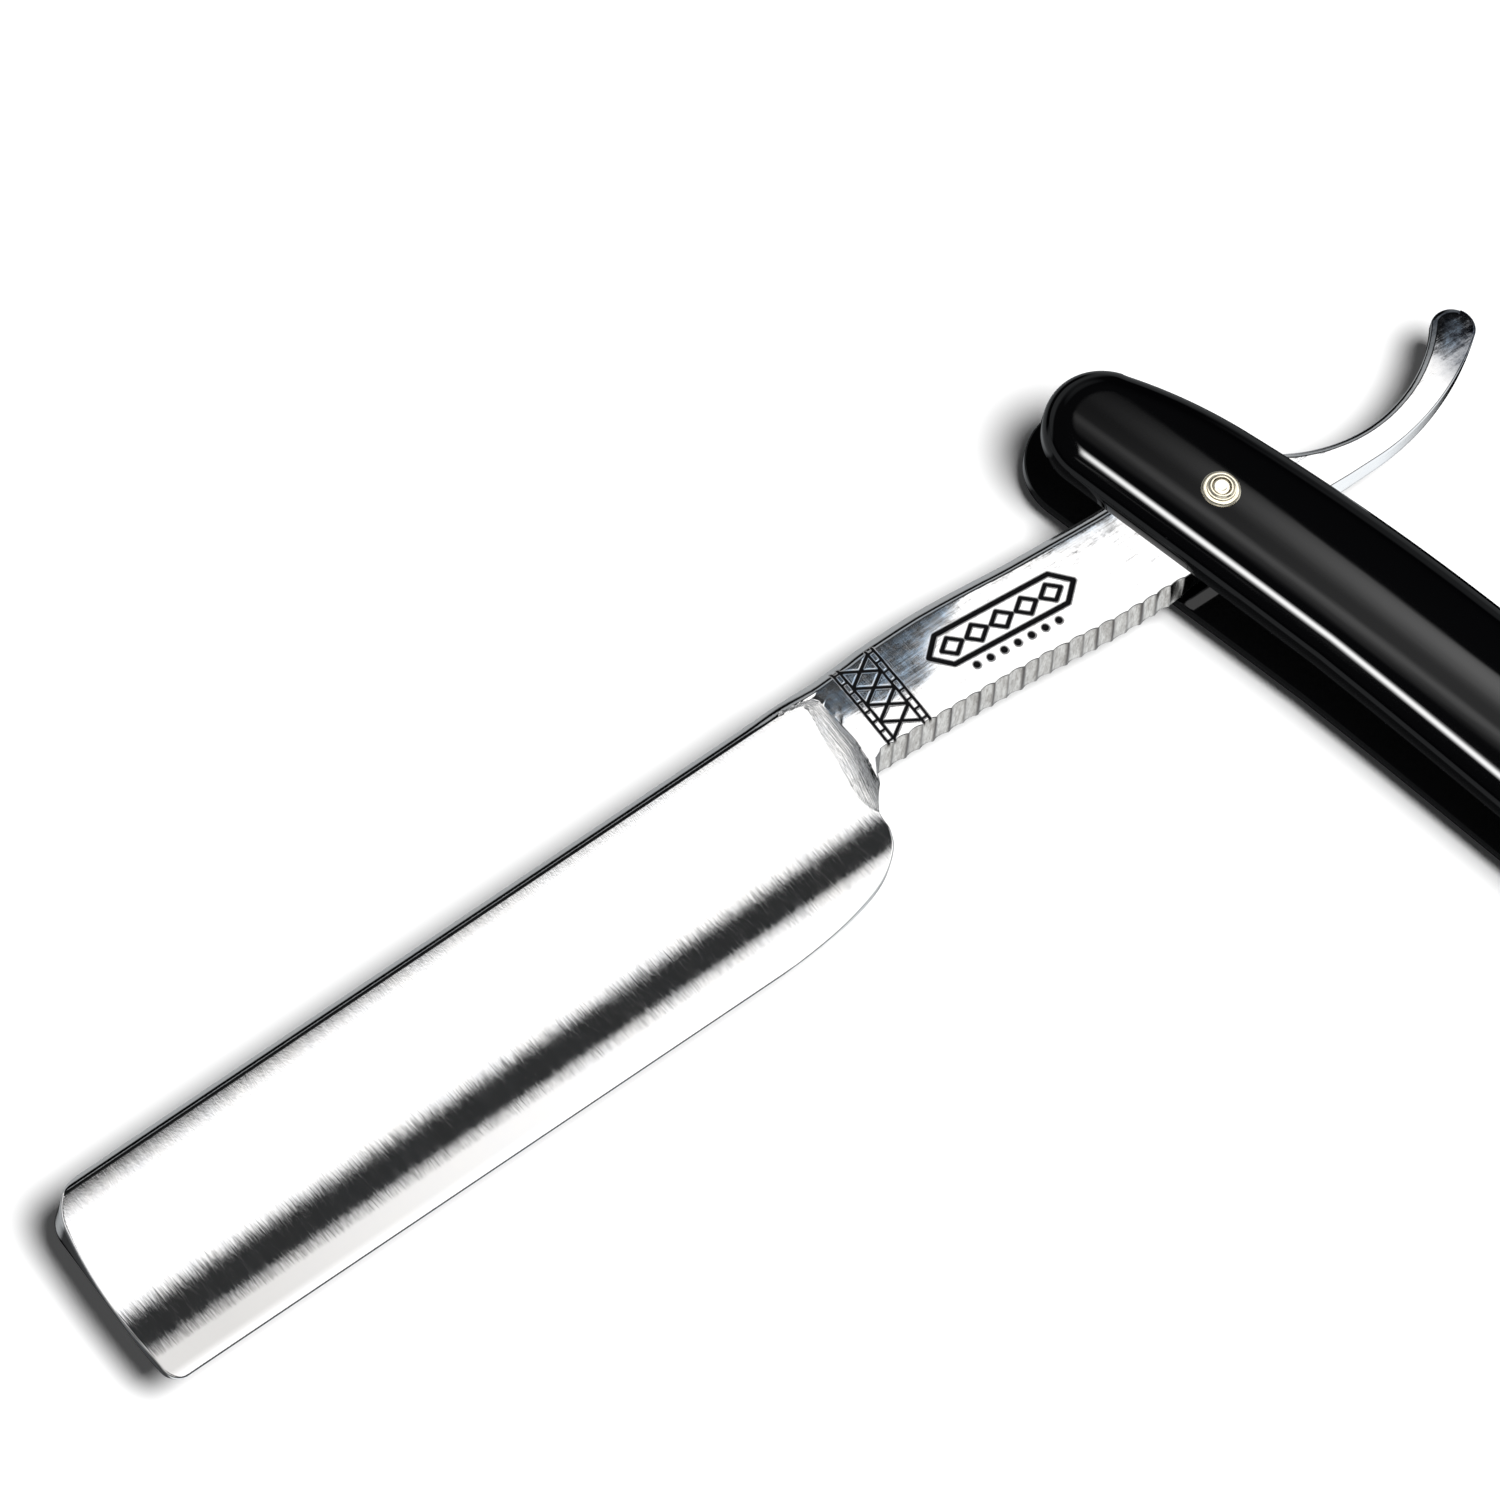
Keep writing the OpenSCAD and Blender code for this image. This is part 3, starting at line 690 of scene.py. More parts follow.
    # wall orientation
    k1 = nl // 3
    a, b, c = co[wall_f[k1, 0]], co[wall_f[k1, 1]], co[wall_f[k1, 2]]
    nn = np.cross(b - a, c - a)
    o3 = nrm[k1] * sgn
    od = np.array([*(o3[0] * UX + o3[1] * VX), 0])
    if np.dot(nn, od) < 0:
        wall_f = wall_f[:, ::-1]
    faces = np.vstack([top_f, low_f, wall_f])
    zeros = np.zeros(nf)
    # painted shade on the strip along the edge, stronger towards the toe
    edge_shade = np.where(head, smooth(7.9, 9.4, v) * np.interp(u, [42, 60, 85, 115], [0.1, 0.2, 0.5, 1.0]) * smooth(12.1, 11.0, v), 0.0)
    # the tail's end is darker
    tip_d = np.where(head, 0.0, smooth(-22.0, -27.3, u))
    attrs = {
        "edge_shade": np.r_[edge_shade, edge_shade, np.zeros(nl * wall_rows)],
        "tip_d": np.r_[tip_d, tip_d, np.tile(tip_d[loop], wall_rows)],
        "etch": np.r_[etch, zeros, np.zeros(nl * wall_rows)],
        "shank": np.r_[shank_zone, shank_zone, np.tile(shank_zone[loop], wall_rows)],
        "filed": np.r_[filed, filed, np.tile(filed[loop], wall_rows)],
        "slope_tint": np.r_[slope_tint, slope_tint * 0.5, np.zeros(nl * wall_rows)],
        "gro": np.r_[gro, gro, np.tile(gro[loop], wall_rows)],
        "fil_x": np.r_[fil_x, fil_x, np.zeros(nl * wall_rows)],
        "fil_m": np.r_[fil_m, fil_m, np.zeros(nl * wall_rows)],
    }
    return make_mesh("blade_body", co, faces, STEEL, "blade", ["blade"], attrs, sharp=38)


FORM_V = np.array([-9, -7.6, -6.6, -6.0, -5.6, -5.2, -4.8, -4.4, -4.0, -3.4, -3.0, -2.4, -2.0, -1.6, -1.2, -.8, 0, 1.5, 8])
FORM_U = np.array([-31, -27, -24, -20, -12, -4, 6, 12, 17, 22, 26, 31, 33, 37.5, 40, 50])
FORM_S = np.array([
    [.06, .06, .06, .06, .06, .06, .06, .06, .058, .056, .054, .052, .050, .048, .046, .044, .036, .03, .03],
    [.06, .06, .06, .06, .06, .06, .058, .056, .054, .052, .050, .048, .046, .042, .038, .034, .026, .012, .01],
    [.05, .05, .05, .05, .05, .05, .05, .05, .05, .05, .048, .046, .044, .042, .038, .034, .022, .004, 0],
    [.05, .05, .05, .05, .05, .05, .05, .05, .05, .05, .05, .046, .044, .040, .036, .032, .024, .008, 0],
    [.05, .05, .05, .05, .05, .05, .05, .05, .05, .05, .05, .05, .048, .046, .042, .036, .028, .016, 0],
    [.09, .08, .07, .055, .050, .042, .036, .030, .026, .022, .020, .018, .016, .014, .012, .010, .008, .004, 0],
    [.09, .08, .07, .055, .050, .042, .032, .024, .021, .017, .015, .014, .013, .013, .012, .012, .011, .006, 0],
    [.09, .08, .07, .055, .046, .036, .026, .020, .017, .014, .012, .011, .010, .010, .010, .009, .008, .004, 0],
    [.09, .08, .06, .040, .022, .013, .009, .007, .006, .005, .004, .003, .002, 0, 0, 0, 0, 0, 0],
    [.09, .08, .05, .024, .014, .008, .005, .004, .003, .003, .002, .001, 0, 0, 0, 0, 0, 0, 0],
    [.09, .08, .06, .045, .036, .032, .026, .020, .014, .008, .005, .003, .001, 0, 0, 0, 0, 0, 0],
    [.08, .07, .06, .056, .052, .050, .048, .046, .044, .042, .040, .036, .032, .024, .014, .006, .002, 0, 0],
    [.08, .07, .06, .056, .052, .050, .048, .046, .044, .042, .040, .032, .026, .018, .010, .004, .001, 0, 0],
    [.08, .07, .06, .056, .054, .052, .050, .048, .046, .040, .028, .014, .008, .004, .002, 0, 0, 0, 0],
    [.08, .07, .06, .056, .054, .052, .050, .048, .046, .040, .028, .014, .008, .004, .002, 0, 0, 0, 0],
    [.08, .07, .06, .056, .054, .052, .050, .048, .046, .040, .028, .014, .008, .004, .002, 0, 0, 0, 0]])


FORM_S[4] = [.05, .05, .05, .05, .05, .05, .05, .05, .05, .05, .05, .05, .048, .046, .042, .036, .030, .010, -.02]
FORM_S[3] = [.05, .05, .05, .05, .05, .05, .05, .05, .05, .05, .05, .05, .05, .048, .044, .040, .034, .012, -.02]
FORM_S[2] = [.05, .05, .05, .05, .05, .05, .05, .045, .040, .036, .034, .032, .030, .027, .024, .020, .012, .004, 0]
FORM_S *= 1.1


def shank_form(u, v):
    """Fall of the shank's and tail's face towards the spine side: slope, and the height lost."""
    vv = np.linspace(-9, 8, 341)
    rows = np.array([np.interp(vv, FORM_V, r) for r in FORM_S])
    drop = -np.cumsum(rows[:, ::-1], axis=1)[:, ::-1] * (vv[1] - vv[0])
    drop = -drop
    fu = np.clip(np.interp(u, FORM_U, np.arange(len(FORM_U))), 0, len(FORM_U) - 1.001)
    i = fu.astype(int)
    t = fu - i
    t = t * t * (3 - 2 * t)
    fv = np.clip((v + 9) / 17 * 340, 0, 339.99)
    j = fv.astype(int)
    w = fv - j

    def look(tab):
        return ((tab[i, j] * (1 - w) + tab[i, j + 1] * w) * (1 - t)
                + (tab[i + 1, j] * (1 - w) + tab[i + 1, j + 1] * w) * t)
    return look(rows), look(drop)


def seg_dist(q, a, b):
    a, b = np.array(a, float), np.array(b, float)
    e = b - a
    t = np.clip(((q - a) @ e) / (e @ e), 0, 1)
    return np.linalg.norm(q - a - t[:, None] * e, axis=1)


def marks(q):
    """Etched lattice band beside the shoulder and a plain stamped panel of diamonds along the shank."""
    etch = np.zeros(len(q))
    depth = np.zeros(len(q))

    def line(a, b, w, soft=0.05):
        d = seg_dist(q, a, b)
        np.maximum(etch, 1 - smooth(w / 2 - soft / 2, w / 2 + soft, d), out=etch)

    # band: two ladders with crosses between
    def edge_l(v, o):
        return (35.88 + (36.12 - 35.88) * (v + 6.83) / 8.25 + o, v)

    def edge_r(v, o):
        return (32.17 + (32.41 - 32.17) * (v + 6.72) / 8.25 + o, v)

    lo, hi = -6.65, 1.36
    for fn in (edge_l, edge_r):
        for o in (-0.33, 0.33):
            line(fn(lo, o), fn(hi, o), 0.30)
        n = 7
        for k in range(n + 1):
            vv = lo + 0.35 + (hi - lo - 0.7) * k / n
            line(fn(vv, -0.33), fn(vv, 0.33), 0.24)
    nx = 4
    for k in range(nx):
        v0 = lo + 0.3 + (hi - lo - 0.6) * k / nx
        v1 = lo + 0.3 + (hi - lo - 0.6) * (k + 1) / nx
        line(edge_l(v0, -0.33), edge_r(v1, 0.33), 0.34)
        line(edge_l(v1, -0.33), edge_r(v0, 0.33), 0.34)
    depth += etch * 0.012

    # stamped panel: a long six-sided frame with a row of diamonds in it, and dots under it
    c0, c1 = np.array([28.6, -3.05]), np.array([13.9, -1.75])
    ax = (c1 - c0) / np.linalg.norm(c1 - c0)
    pv = np.array([-ax[1], ax[0]])
    if pv[1] < 0:
        pv = -pv
    L = np.linalg.norm(c1 - c0)

    def at(s, t):
        return c0 + ax * s + pv * t

    def groove(a, b, w, dpt):
        d = seg_dist(q, a, b)
        k = 1 - smooth(0.0, w / 2, d)
        np.maximum(depth, k * dpt, out=depth)
        np.maximum(etch, 1 - smooth(w * 0.40, w * 0.66, d), out=etch)

    hgt = 1.55
    ring = [at(0, 0), at(1.6, -hgt), at(L - 1.6, -hgt), at(L, 0), at(L - 1.6, hgt), at(1.6, hgt)]
    for k in range(6):
        groove(ring[k], ring[(k + 1) % 6], 0.52, 0.14)
    for k in range(5):
        s = 2.35 + (L - 4.7) * k / 4
        h, wd = 0.85, 1.05
        pts = [at(s - wd, 0), at(s, -h), at(s + wd, 0), at(s, h)]
        for m in range(4):
            groove(pts[m], pts[(m + 1) % 4], 0.42, 0.11)
    for k in range(7):
        s = 3.2 + (L - 6.4) * k / 6
        p0 = at(s, hgt + 0.95)
        d = np.linalg.norm(q - p0, axis=1)
        kk = 1 - smooth(0.05, 0.42, d)
        np.maximum(depth, kk * 0.13, out=depth)
        np.maximum(etch, 1 - smooth(0.30, 0.46, d), out=etch)
    return etch, depth


build_blade().visible_diffuse = False


# ------------------------------------------------------------------- scales
UP_X, UP_Y, UP_R1, UP_R2 = 22.0, 8.0, 190.0, 620.0
B1 = np.array([UP_X, UP_Y - UP_R1])
B2 = np.array([UP_X, UP_Y - UP_R2])
LOW_R, LOW_CX = 1730.0, -38.0
LOW_CY = -5.58 - LOW_R
END_X = 135.2
Z_IN_B, Z_IN_F = 3.25, 8.85
LEAN = math.radians(0.25)
SCALE_T = 2.6


def up_at(x):
    return B2[1] + np.sqrt(UP_R2 ** 2 - (x - B2[0]) ** 2)


def low_at(x):
    return LOW_CY + np.sqrt(LOW_R ** 2 - (x - LOW_CX) ** 2)


def scale_outline(extra):
    """Upper and lower edge of a scale, nose first, as matched lists of points."""
    n_r = 5.45
    n_c = np.array([-10.6, -1.45])
    s_r = 40.0
    nb = B1 - n_c
    nd = np.linalg.norm(nb)
    nu = nb / nd
    sa = ((s_r - n_r) ** 2 - (UP_R1 - s_r) ** 2 + nd ** 2) / (2 * nd)
    sh = math.sqrt((s_r - n_r) ** 2 - sa ** 2)
    s_c = n_c + sa * nu + sh * np.array([-nu[1], nu[0]])
    a_join = math.degrees(math.atan2(n_c[1] - s_c[1], n_c[0] - s_c[0]))
    s_t2 = B1 + UP_R1 * (s_c - B1) / (UP_R1 - s_r)
    a_t2 = math.degrees(math.atan2(s_t2[1] - s_c[1], s_t2[0] - s_c[0]))
    a_b = math.degrees(math.atan2(s_t2[1] - B1[1], s_t2[0] - B1[0]))
    up = [arc(n_c - (extra, 0), n_r, 180, a_join, 40)]
    if extra:
        up.append(np.array([n_c + (-extra * 0.5, 0) + n_r * np.array([math.cos(math.radians(a_join)), math.sin(math.radians(a_join))])]))
    up.append(arc(s_c, s_r, a_join, a_t2, 40))
    up.append(arc(B1, UP_R1, a_b, 90, 60))
    xs = np.linspace(UP_X, END_X, 160)[1:]
    up.append(np.stack([xs, up_at(xs)], 1))
    up = np.vstack(up)
    e_y = (up_at(END_X) + low_at(END_X)) / 2
    e_r = (up_at(END_X) - low_at(END_X)) / 2
    up = np.vstack([up, arc((END_X, e_y), e_r, 90, 0, 40)[1:]])
    low = [arc(n_c - (extra, 0), n_r, 180, 270, 40)]
    xs = np.linspace(-10.6, 15.3, 40)[1:]
    y0, y1 = n_c[1] - n_r, low_at(15.3)
    yl = y0 + (y1 - y0) * (xs + 10.6) / 25.9
    low.append(np.stack([xs, yl], 1))
    xs = np.linspace(15.3, END_X, 200)[1:]
    low.append(np.stack([xs, low_at(xs)], 1))
    low.append(arc((END_X, e_y), e_r, -90, 0, 40)[1:])
    low = np.vstack(low)
    # soften the waist a little
    k = np.exp(-((low[:, 0] - 15.3) / 5.0) ** 2)
    low[:, 1] -= 0.05 * k
    return up, low


def profile(delta):
    """Height lost towards the rim: a rounded edge whose curve runs on into the crown."""
    r1 = 1.15
    d = np.minimum(delta, r1)
    first = r1 - np.sqrt(np.maximum(r1 * r1 - (r1 - d) ** 2, 0))
    return first


def build_scale(name, front, nodes):
    extra = 0.2 if front else 0.8
    up, low = scale_outline(extra)
    n = 620
    # stations: same x on both sides away from the ends
    s = 0.5 * (1 - np.cos(np.linspace(0, np.pi, n)))
    nose_x = -10.6 - extra - 5.45
    end = END_X + (up_at(END_X) - low_at(END_X)) / 2
    xs = nose_x + (end - nose_x) * np.clip(np.interp(np.linspace(0, 1, n), [0, .08, .4, .92, 1], [0, .012, .38, .985, 1]), 0, 1)
    # ease the spacing close to the round ends
    t = np.linspace(0, 1, n)
    xs = nose_x + (end - nose_x) * (t + 0.0)
    k = 46
    xs[:k] = nose_x + (xs[k] - nose_x) * (np.arange(k) / k) ** 2
    xs[-k:] = end - (end - xs[-k - 1]) * ((np.arange(k)[::-1]) / k) ** 2
    ui = np.argsort(up[:, 0], kind="stable")
    li = np.argsort(low[:, 0], kind="stable")
    ya = np.interp(xs, up[ui, 0], up[ui, 1])
    yb = np.interp(xs, low[li, 0], low[li, 1])
    # exact arcs at the two ends
    cx = -10.6 - extra
    m = xs < cx
    yb[m] = -1.45 - np.sqrt(np.maximum(5.45 ** 2 - (xs[m] - cx) ** 2, 0))
    m2 = xs < -12.9 - extra * 0.6
    ya[m2] = -1.45 + np.sqrt(np.maximum(5.45 ** 2 - (xs[m2] - cx) ** 2, 0))
    e_y = (up_at(END_X) + low_at(END_X)) / 2
    e_r = (up_at(END_X) - low_at(END_X)) / 2
    m = xs > END_X
    ya[m] = e_y + np.sqrt(np.maximum(e_r ** 2 - (xs[m] - END_X) ** 2, 0))
    yb[m] = e_y - np.sqrt(np.maximum(e_r ** 2 - (xs[m] - END_X) ** 2, 0))
    near = np.array([0, .012, .035, .07, .115, .17, .24, .32, .41, .52, .64, .78, .93, 1.1])
    W = 14.0
    inner = np.linspace(near[-1] / W, 1 - near[-1] / W, 60)
    f = np.r_[near[:-1] / W, inner, (1 - near[::-1] / W)[1:]]
    J = len(f)
    x = np.repeat(xs[:, None], J, 1)
    y = ya[:, None] + (yb - ya)[:, None] * f[None, :]
    pts = np.stack([x, y], 2).reshape(-1, 2)
    idx = np.arange(n * J).reshape(n, J)
    # the first and last station collapse to a point; keep them as points
    loop = list(idx[:, 0]) + list(idx[-1, 1:-1]) + list(idx[::-1, -1]) + list(idx[0, 1:-1][::-1])
    outline = np.vstack([np.stack([xs, ya], 1), np.stack([xs, yb], 1)[::-1]])
    delta = edge_distance(pts, outline)
    delta[np.array(loop)] = 0.0
    px, py = pts[:, 0], pts[:, 1]
    # crown about a line that follows the handle
    crown_y = 0.5 - 900.0 + np.sqrt(900.0 ** 2 - (px - UP_X) ** 2)
    off = py - crown_y
    h = SCALE_T - off ** 2 / (2 * 38.0)
    h = h - profile(delta) - 0.16 * smooth(2.6, 0.9, delta) ** 2
    h = np.maximum(h, 0.32)
    hole = []
    th = LEAN if front else -LEAN
    sgn = 1.0 if front else -1.0
    zin = Z_IN_F if front else Z_IN_B
    nf = n * J
    wall_h = 0.30
    edge_h = h[np.array(loop)]
    co = np.empty((nf, 3))
    co[:, 0] = px
    co[:, 1] = py
    co[:, 2] = zin + sgn * h
    base_co = co.copy()
    inner_r = 0.16                                     # small round where the wall meets the inner face
    base_co[:, 2] = zin + sgn * (inner_r - np.sqrt(np.maximum(inner_r ** 2 - (inner_r - np.minimum(delta, inner_r)) ** 2, 0)))
    allco = np.vstack([co, base_co])
    # tilt with the lean of the scale
    tilt = -math.tan(LEAN) * allco[:, 0] * sgn
    allco[:, 2] += tilt
    lp = np.array(loop + [loop[0]])
    grid = np.vstack([lp[None, :], lp[None, :] + nf])
    top_f = quads(idx)
    low_f = top_f[:, ::-1] + nf
    wall_f = quads(grid)
    faces = np.vstack([top_f, low_f, wall_f])
    # orientation
    k0 = len(top_f) // 2
    a, b, c = (allco[top_f[k0, i]] for i in range(3))
    if np.cross(b - a, c - a)[2] * sgn < 0:
        faces[:len(top_f) + len(low_f)] = faces[:len(top_f) + len(low_f), ::-1]
    kk = n // 2
    a, b, c = (allco[wall_f[kk, i]] for i in range(3))
    if np.cross(b - a, c - a)[1] < 0:
        faces[len(top_f) + len(low_f):] = faces[len(top_f) + len(low_f):, ::-1]
    return make_mesh(name, allco, faces, BLACK, "handle", nodes, sharp=50)


build_scale("front_scale", True, ["scale_front"]).visible_glossy = False
build_scale("back_scale", False, ["scale_back"])


# -------------------------------------------------------------------- wedge
def build_wedge():
    xs = np.r_[np.linspace(124.6, END_X, 60), END_X + 0]
    xs = np.linspace(124.6, END_X, 60)
    ins = 0.5
    e_y = (up_at(END_X) + low_at(END_X)) / 2
    e_r = (up_at(END_X) - low_at(END_X)) / 2 - ins
    up = np.stack([xs, up_at(xs) - ins], 1)
    low = np.stack([xs, low_at(xs) + ins], 1)
    endc = arc((END_X, e_y), e_r, 90, -90, 40)[1:-1]
    sc = np.array([124.6 - 9.2, up_at(124.6) - 6.2])
    front_pts = []
    for y in np.linspace(low[0, 1], up[0, 1], 30):
        dy = y - sc[1]
        fx = sc[0] + math.sqrt(max(100 - dy * dy, 0)) if abs(dy) < 10 else 124.6
        front_pts.append((max(fx, 124.6), y))
    ring = np.vstack([up[1:], endc, low[::-1][:-1], front_pts])
    c = ring.mean(0)
    rows = []
    nrm = np.roll(ring, -1, 0) - np.roll(ring, 1, 0)
    nrm = np.stack([nrm[:, 1], -nrm[:, 0]], 1) / np.linalg.norm(nrm, axis=1)[:, None]
    area = 0.5 * np.sum(ring[:, 0] * np.roll(ring[:, 1], -1) - ring[:, 1] * np.roll(ring[:, 0], -1))
    if area < 0:
        nrm = -nrm
    drop = math.tan(LEAN)
    for side in (0, 1):
        levels = [(0.18, 0.0), (0.12, 0.02), (0.05, 0.07), (0.0, 0.2)]
        if side:
            levels = levels[::-1]
        for inset, dz in levels:
            p = ring - nrm * inset
            z = (Z_IN_B + p[:, 0] * drop + 0.01 + dz) if side == 0 else (Z_IN_F - p[:, 0] * drop - 0.01 - dz)
            rows.append(np.column_stack([p, z]))
    n = len(ring)
    co = np.vstack(rows)
    grid = np.arange(len(rows) * n).reshape(len(rows), n)
    grid = np.hstack([grid, grid[:, :1]])
    f = [list(x) for x in quads(grid)]
    a, b, cc = co[f[5][0]], co[f[5][1]], co[f[5][2]]
    nn = np.cross(b - a, cc - a)
    if np.dot(nn[:2], nrm[5]) < 0:
        f = [x[::-1] for x in f]
    cap0 = list(range(n))
    cap1 = list(range((len(rows) - 1) * n, len(rows) * n))
    up_first = area > 0
    f.append(cap0[::-1] if up_first else cap0)
    f.append(cap1 if up_first else cap1[::-1])
    return make_mesh("end_wedge", co, f, WEDGE, "handle", ["wedge"], sharp=45)


build_wedge()


# --------------------------------------------------------- pins and washers
def lathe(name, rz, centre, mat, nodes, closed=True, n=96, wobble=None, flip=1.0, tilt=0.0):
    """Turned piece: rz is a list of (radius, height) from the inside round to the inside again."""
    rz = np.array(rz, float)
    a = np.linspace(0, 2 * np.pi, n, endpoint=False)
    co = []
    for r, z in rz:
        rr = np.full(n, r)
        if wobble:
            rr = rr * (1 + wobble * np.sin(2 * a + 0.7) + wobble * 0.7 * np.sin(3 * a + 2.0) + wobble * 0.4 * np.sin(7 * a))
        x, y = rr * np.cos(a), rr * np.sin(a)
        co.append(np.column_stack([centre[0] + x, centre[1] + y, centre[2] + flip * z + tilt * x]))
    co = np.vstack(co)
    grid = np.arange(len(rz) * n).reshape(len(rz), n)
    grid = np.hstack([grid, grid[:, :1]])
    if closed:
        grid = np.vstack([grid, grid[:1]])
    f = [list(x) for x in quads(grid)]
    if not closed:
        first = list(range(n))
        last = list(range((len(rz) - 1) * n, len(rz) * n))
        f.append(first)
        f.append(last[::-1])
    k = len(rz) // 2 * n + 3
    if flip > 0:
        pass
    me_f = f
    o = make_mesh(name, co, me_f, mat, "handle", nodes, sharp=40)
    import bmesh
    bm = bmesh.new()
    bm.from_mesh(o.data)
    bmesh.ops.recalc_face_normals(bm, faces=bm.faces)
    bm.to_mesh(o.data)
    bm.free()
    o.data.update()
    return o


def rounded(points, r, n=5):
    """Rounds the corners of an open profile."""
    p = [np.array(q, float) for q in points]
    out = [p[0]]
    for i in range(1, len(p) - 1):
        a, b, c = p[i - 1], p[i], p[i + 1]
        la, lc = np.linalg.norm(a - b), np.linalg.norm(c - b)
        k = min(r, la * 0.45, lc * 0.45)
        s, e = b + (a - b) / la * k, b + (c - b) / lc * k
        for j in range(n + 1):
            t = j / n
            out.append((1 - t) ** 2 * s + 2 * t * (1 - t) * b + t * t * e)
    out.append(p[-1])
    return [tuple(q) for q in out]


PIN_R = 0.775
WX = 133.0
WY = float((up_at(WX) + low_at(WX)) / 2)
DROP = WX * math.tan(LEAN)


def build_pin(name, x, y, z0, z1, nodes):
    L = z1 - z0
    prof = []
    dish = [(0.012, 0.060), (0.16, 0.057), (0.30, 0.045), (0.42, 0.022), (0.50, 0.004)]
    prof += dish
    prof += rounded([(0.50, 0.004), (0.60, 0.0), (PIN_R, 0.07), (PIN_R, 0.4)], 0.07)[1:]
    mid = [(PIN_R, L * 0.5)]
    topp = [(r, L - z) for r, z in prof[::-1]]
    return lathe(name, prof + mid + topp, (x, y, z0), PIN, nodes, closed=False)


def build_base(name, x, y, z, sgn, nodes, tilt):
    r = 1.67
    pts = rounded([(PIN_R + 0.02, -0.04), (r, -0.04), (r, 0.10), (r - 0.12, 0.24), (r - 0.26, 0.285), (PIN_R + 0.02, 0.30)], 0.06)
    return lathe(name, pts, (x, y, z), NICKEL, nodes, wobble=0.012, flip=sgn, tilt=tilt)


def build_collar(name, x, y, z, sgn, nodes):
    r = 1.25
    pts = rounded([(PIN_R + 0.02, 0.0), (r, 0.0), (r, 0.10), (r - 0.17, 0.14), (r - 0.25, 0.33), (PIN_R + 0.08, 0.35), (PIN_R + 0.02, 0.31)], 0.05)
    return lathe(name, pts, (x, y, z), NICKEL, nodes, wobble=0.010, flip=sgn)


def build_inner(name, z, sgn, nodes):
    r, t = 2.5, 1.0
    pts = rounded([(PIN_R + 0.02, 0.0), (r, 0.0), (r, t), (PIN_R + 0.02, t)], 0.1)
    return lathe(name, pts, (0, 0, z), BRASS, nodes, flip=sgn)


Z_TOP = 12.1
build_pin("pivot_rod", 0, 0, 0.04, Z_TOP - 0.04, ["pivot_pin"])
build_base("pivot_base_front", 0, 0, Z_IN_F + SCALE_T, 1, ["pivot_base_washer_front"], -math.tan(LEAN))
build_base("pivot_base_back", 0, 0, Z_IN_B - SCALE_T, -1, ["pivot_base_washer_back"], math.tan(LEAN))
build_collar("pivot_ring_front", 0, 0, Z_TOP - 0.35, 1, ["pivot_collar_front"])
build_collar("pivot_ring_back", 0, 0, 0.35, -1, ["pivot_collar_back"])
build_inner("tang_washer_front", Z_IN_F - 0.02, -1, ["pivot_inner_washer_front"])
build_inner("tang_washer_back", Z_IN_B + 0.02, 1, ["pivot_inner_washer_back"])
build_pin("wedge_rod", WX, WY, DROP + 0.04, Z_TOP - DROP - 0.04, ["wedge_pin"])
build_base("wedge_base_front", WX, WY, Z_IN_F + SCALE_T - DROP, 1, ["wedge_base_washer_front"], -math.tan(LEAN))
build_base("wedge_base_back", WX, WY, Z_IN_B - SCALE_T + DROP, -1, ["wedge_base_washer_back"], math.tan(LEAN))
build_collar("wedge_ring_front", WX, WY, Z_TOP - DROP - 0.35, 1, ["wedge_collar_front"])
build_collar("wedge_ring_back", WX, WY, DROP + 0.35, -1, ["wedge_collar_back"])


# ------------------------------------------------------------ floor, lights
def floor():
    me = bpy.data.meshes.new("floor")
    s = 6.0
    me.from_pydata([(-s, -s, -0.00002), (s, -s, -0.00002), (s, s, -0.00002), (-s, s, -0.00002)], [], [(0, 1, 2, 3)])
    m, nt, p = new_mat("floor_white")
    p.inputs["Base Color"].default_value = (0.90, 0.90, 0.90, 1)
    p.inputs["Roughness"].default_value = 0.9
    p.inputs["Specular IOR Level"].default_value = 0.0
    me.materials.append(m)
    o = bpy.data.objects.new("floor", me)
    bpy.context.scene.collection.objects.link(o)
    o.visible_glossy = False
    return o


floor()


def receivers(name, objs):
    c = bpy.data.collections.new(name)
    for o in objs:
        c.objects.link(o)
    return c


CARDS = []


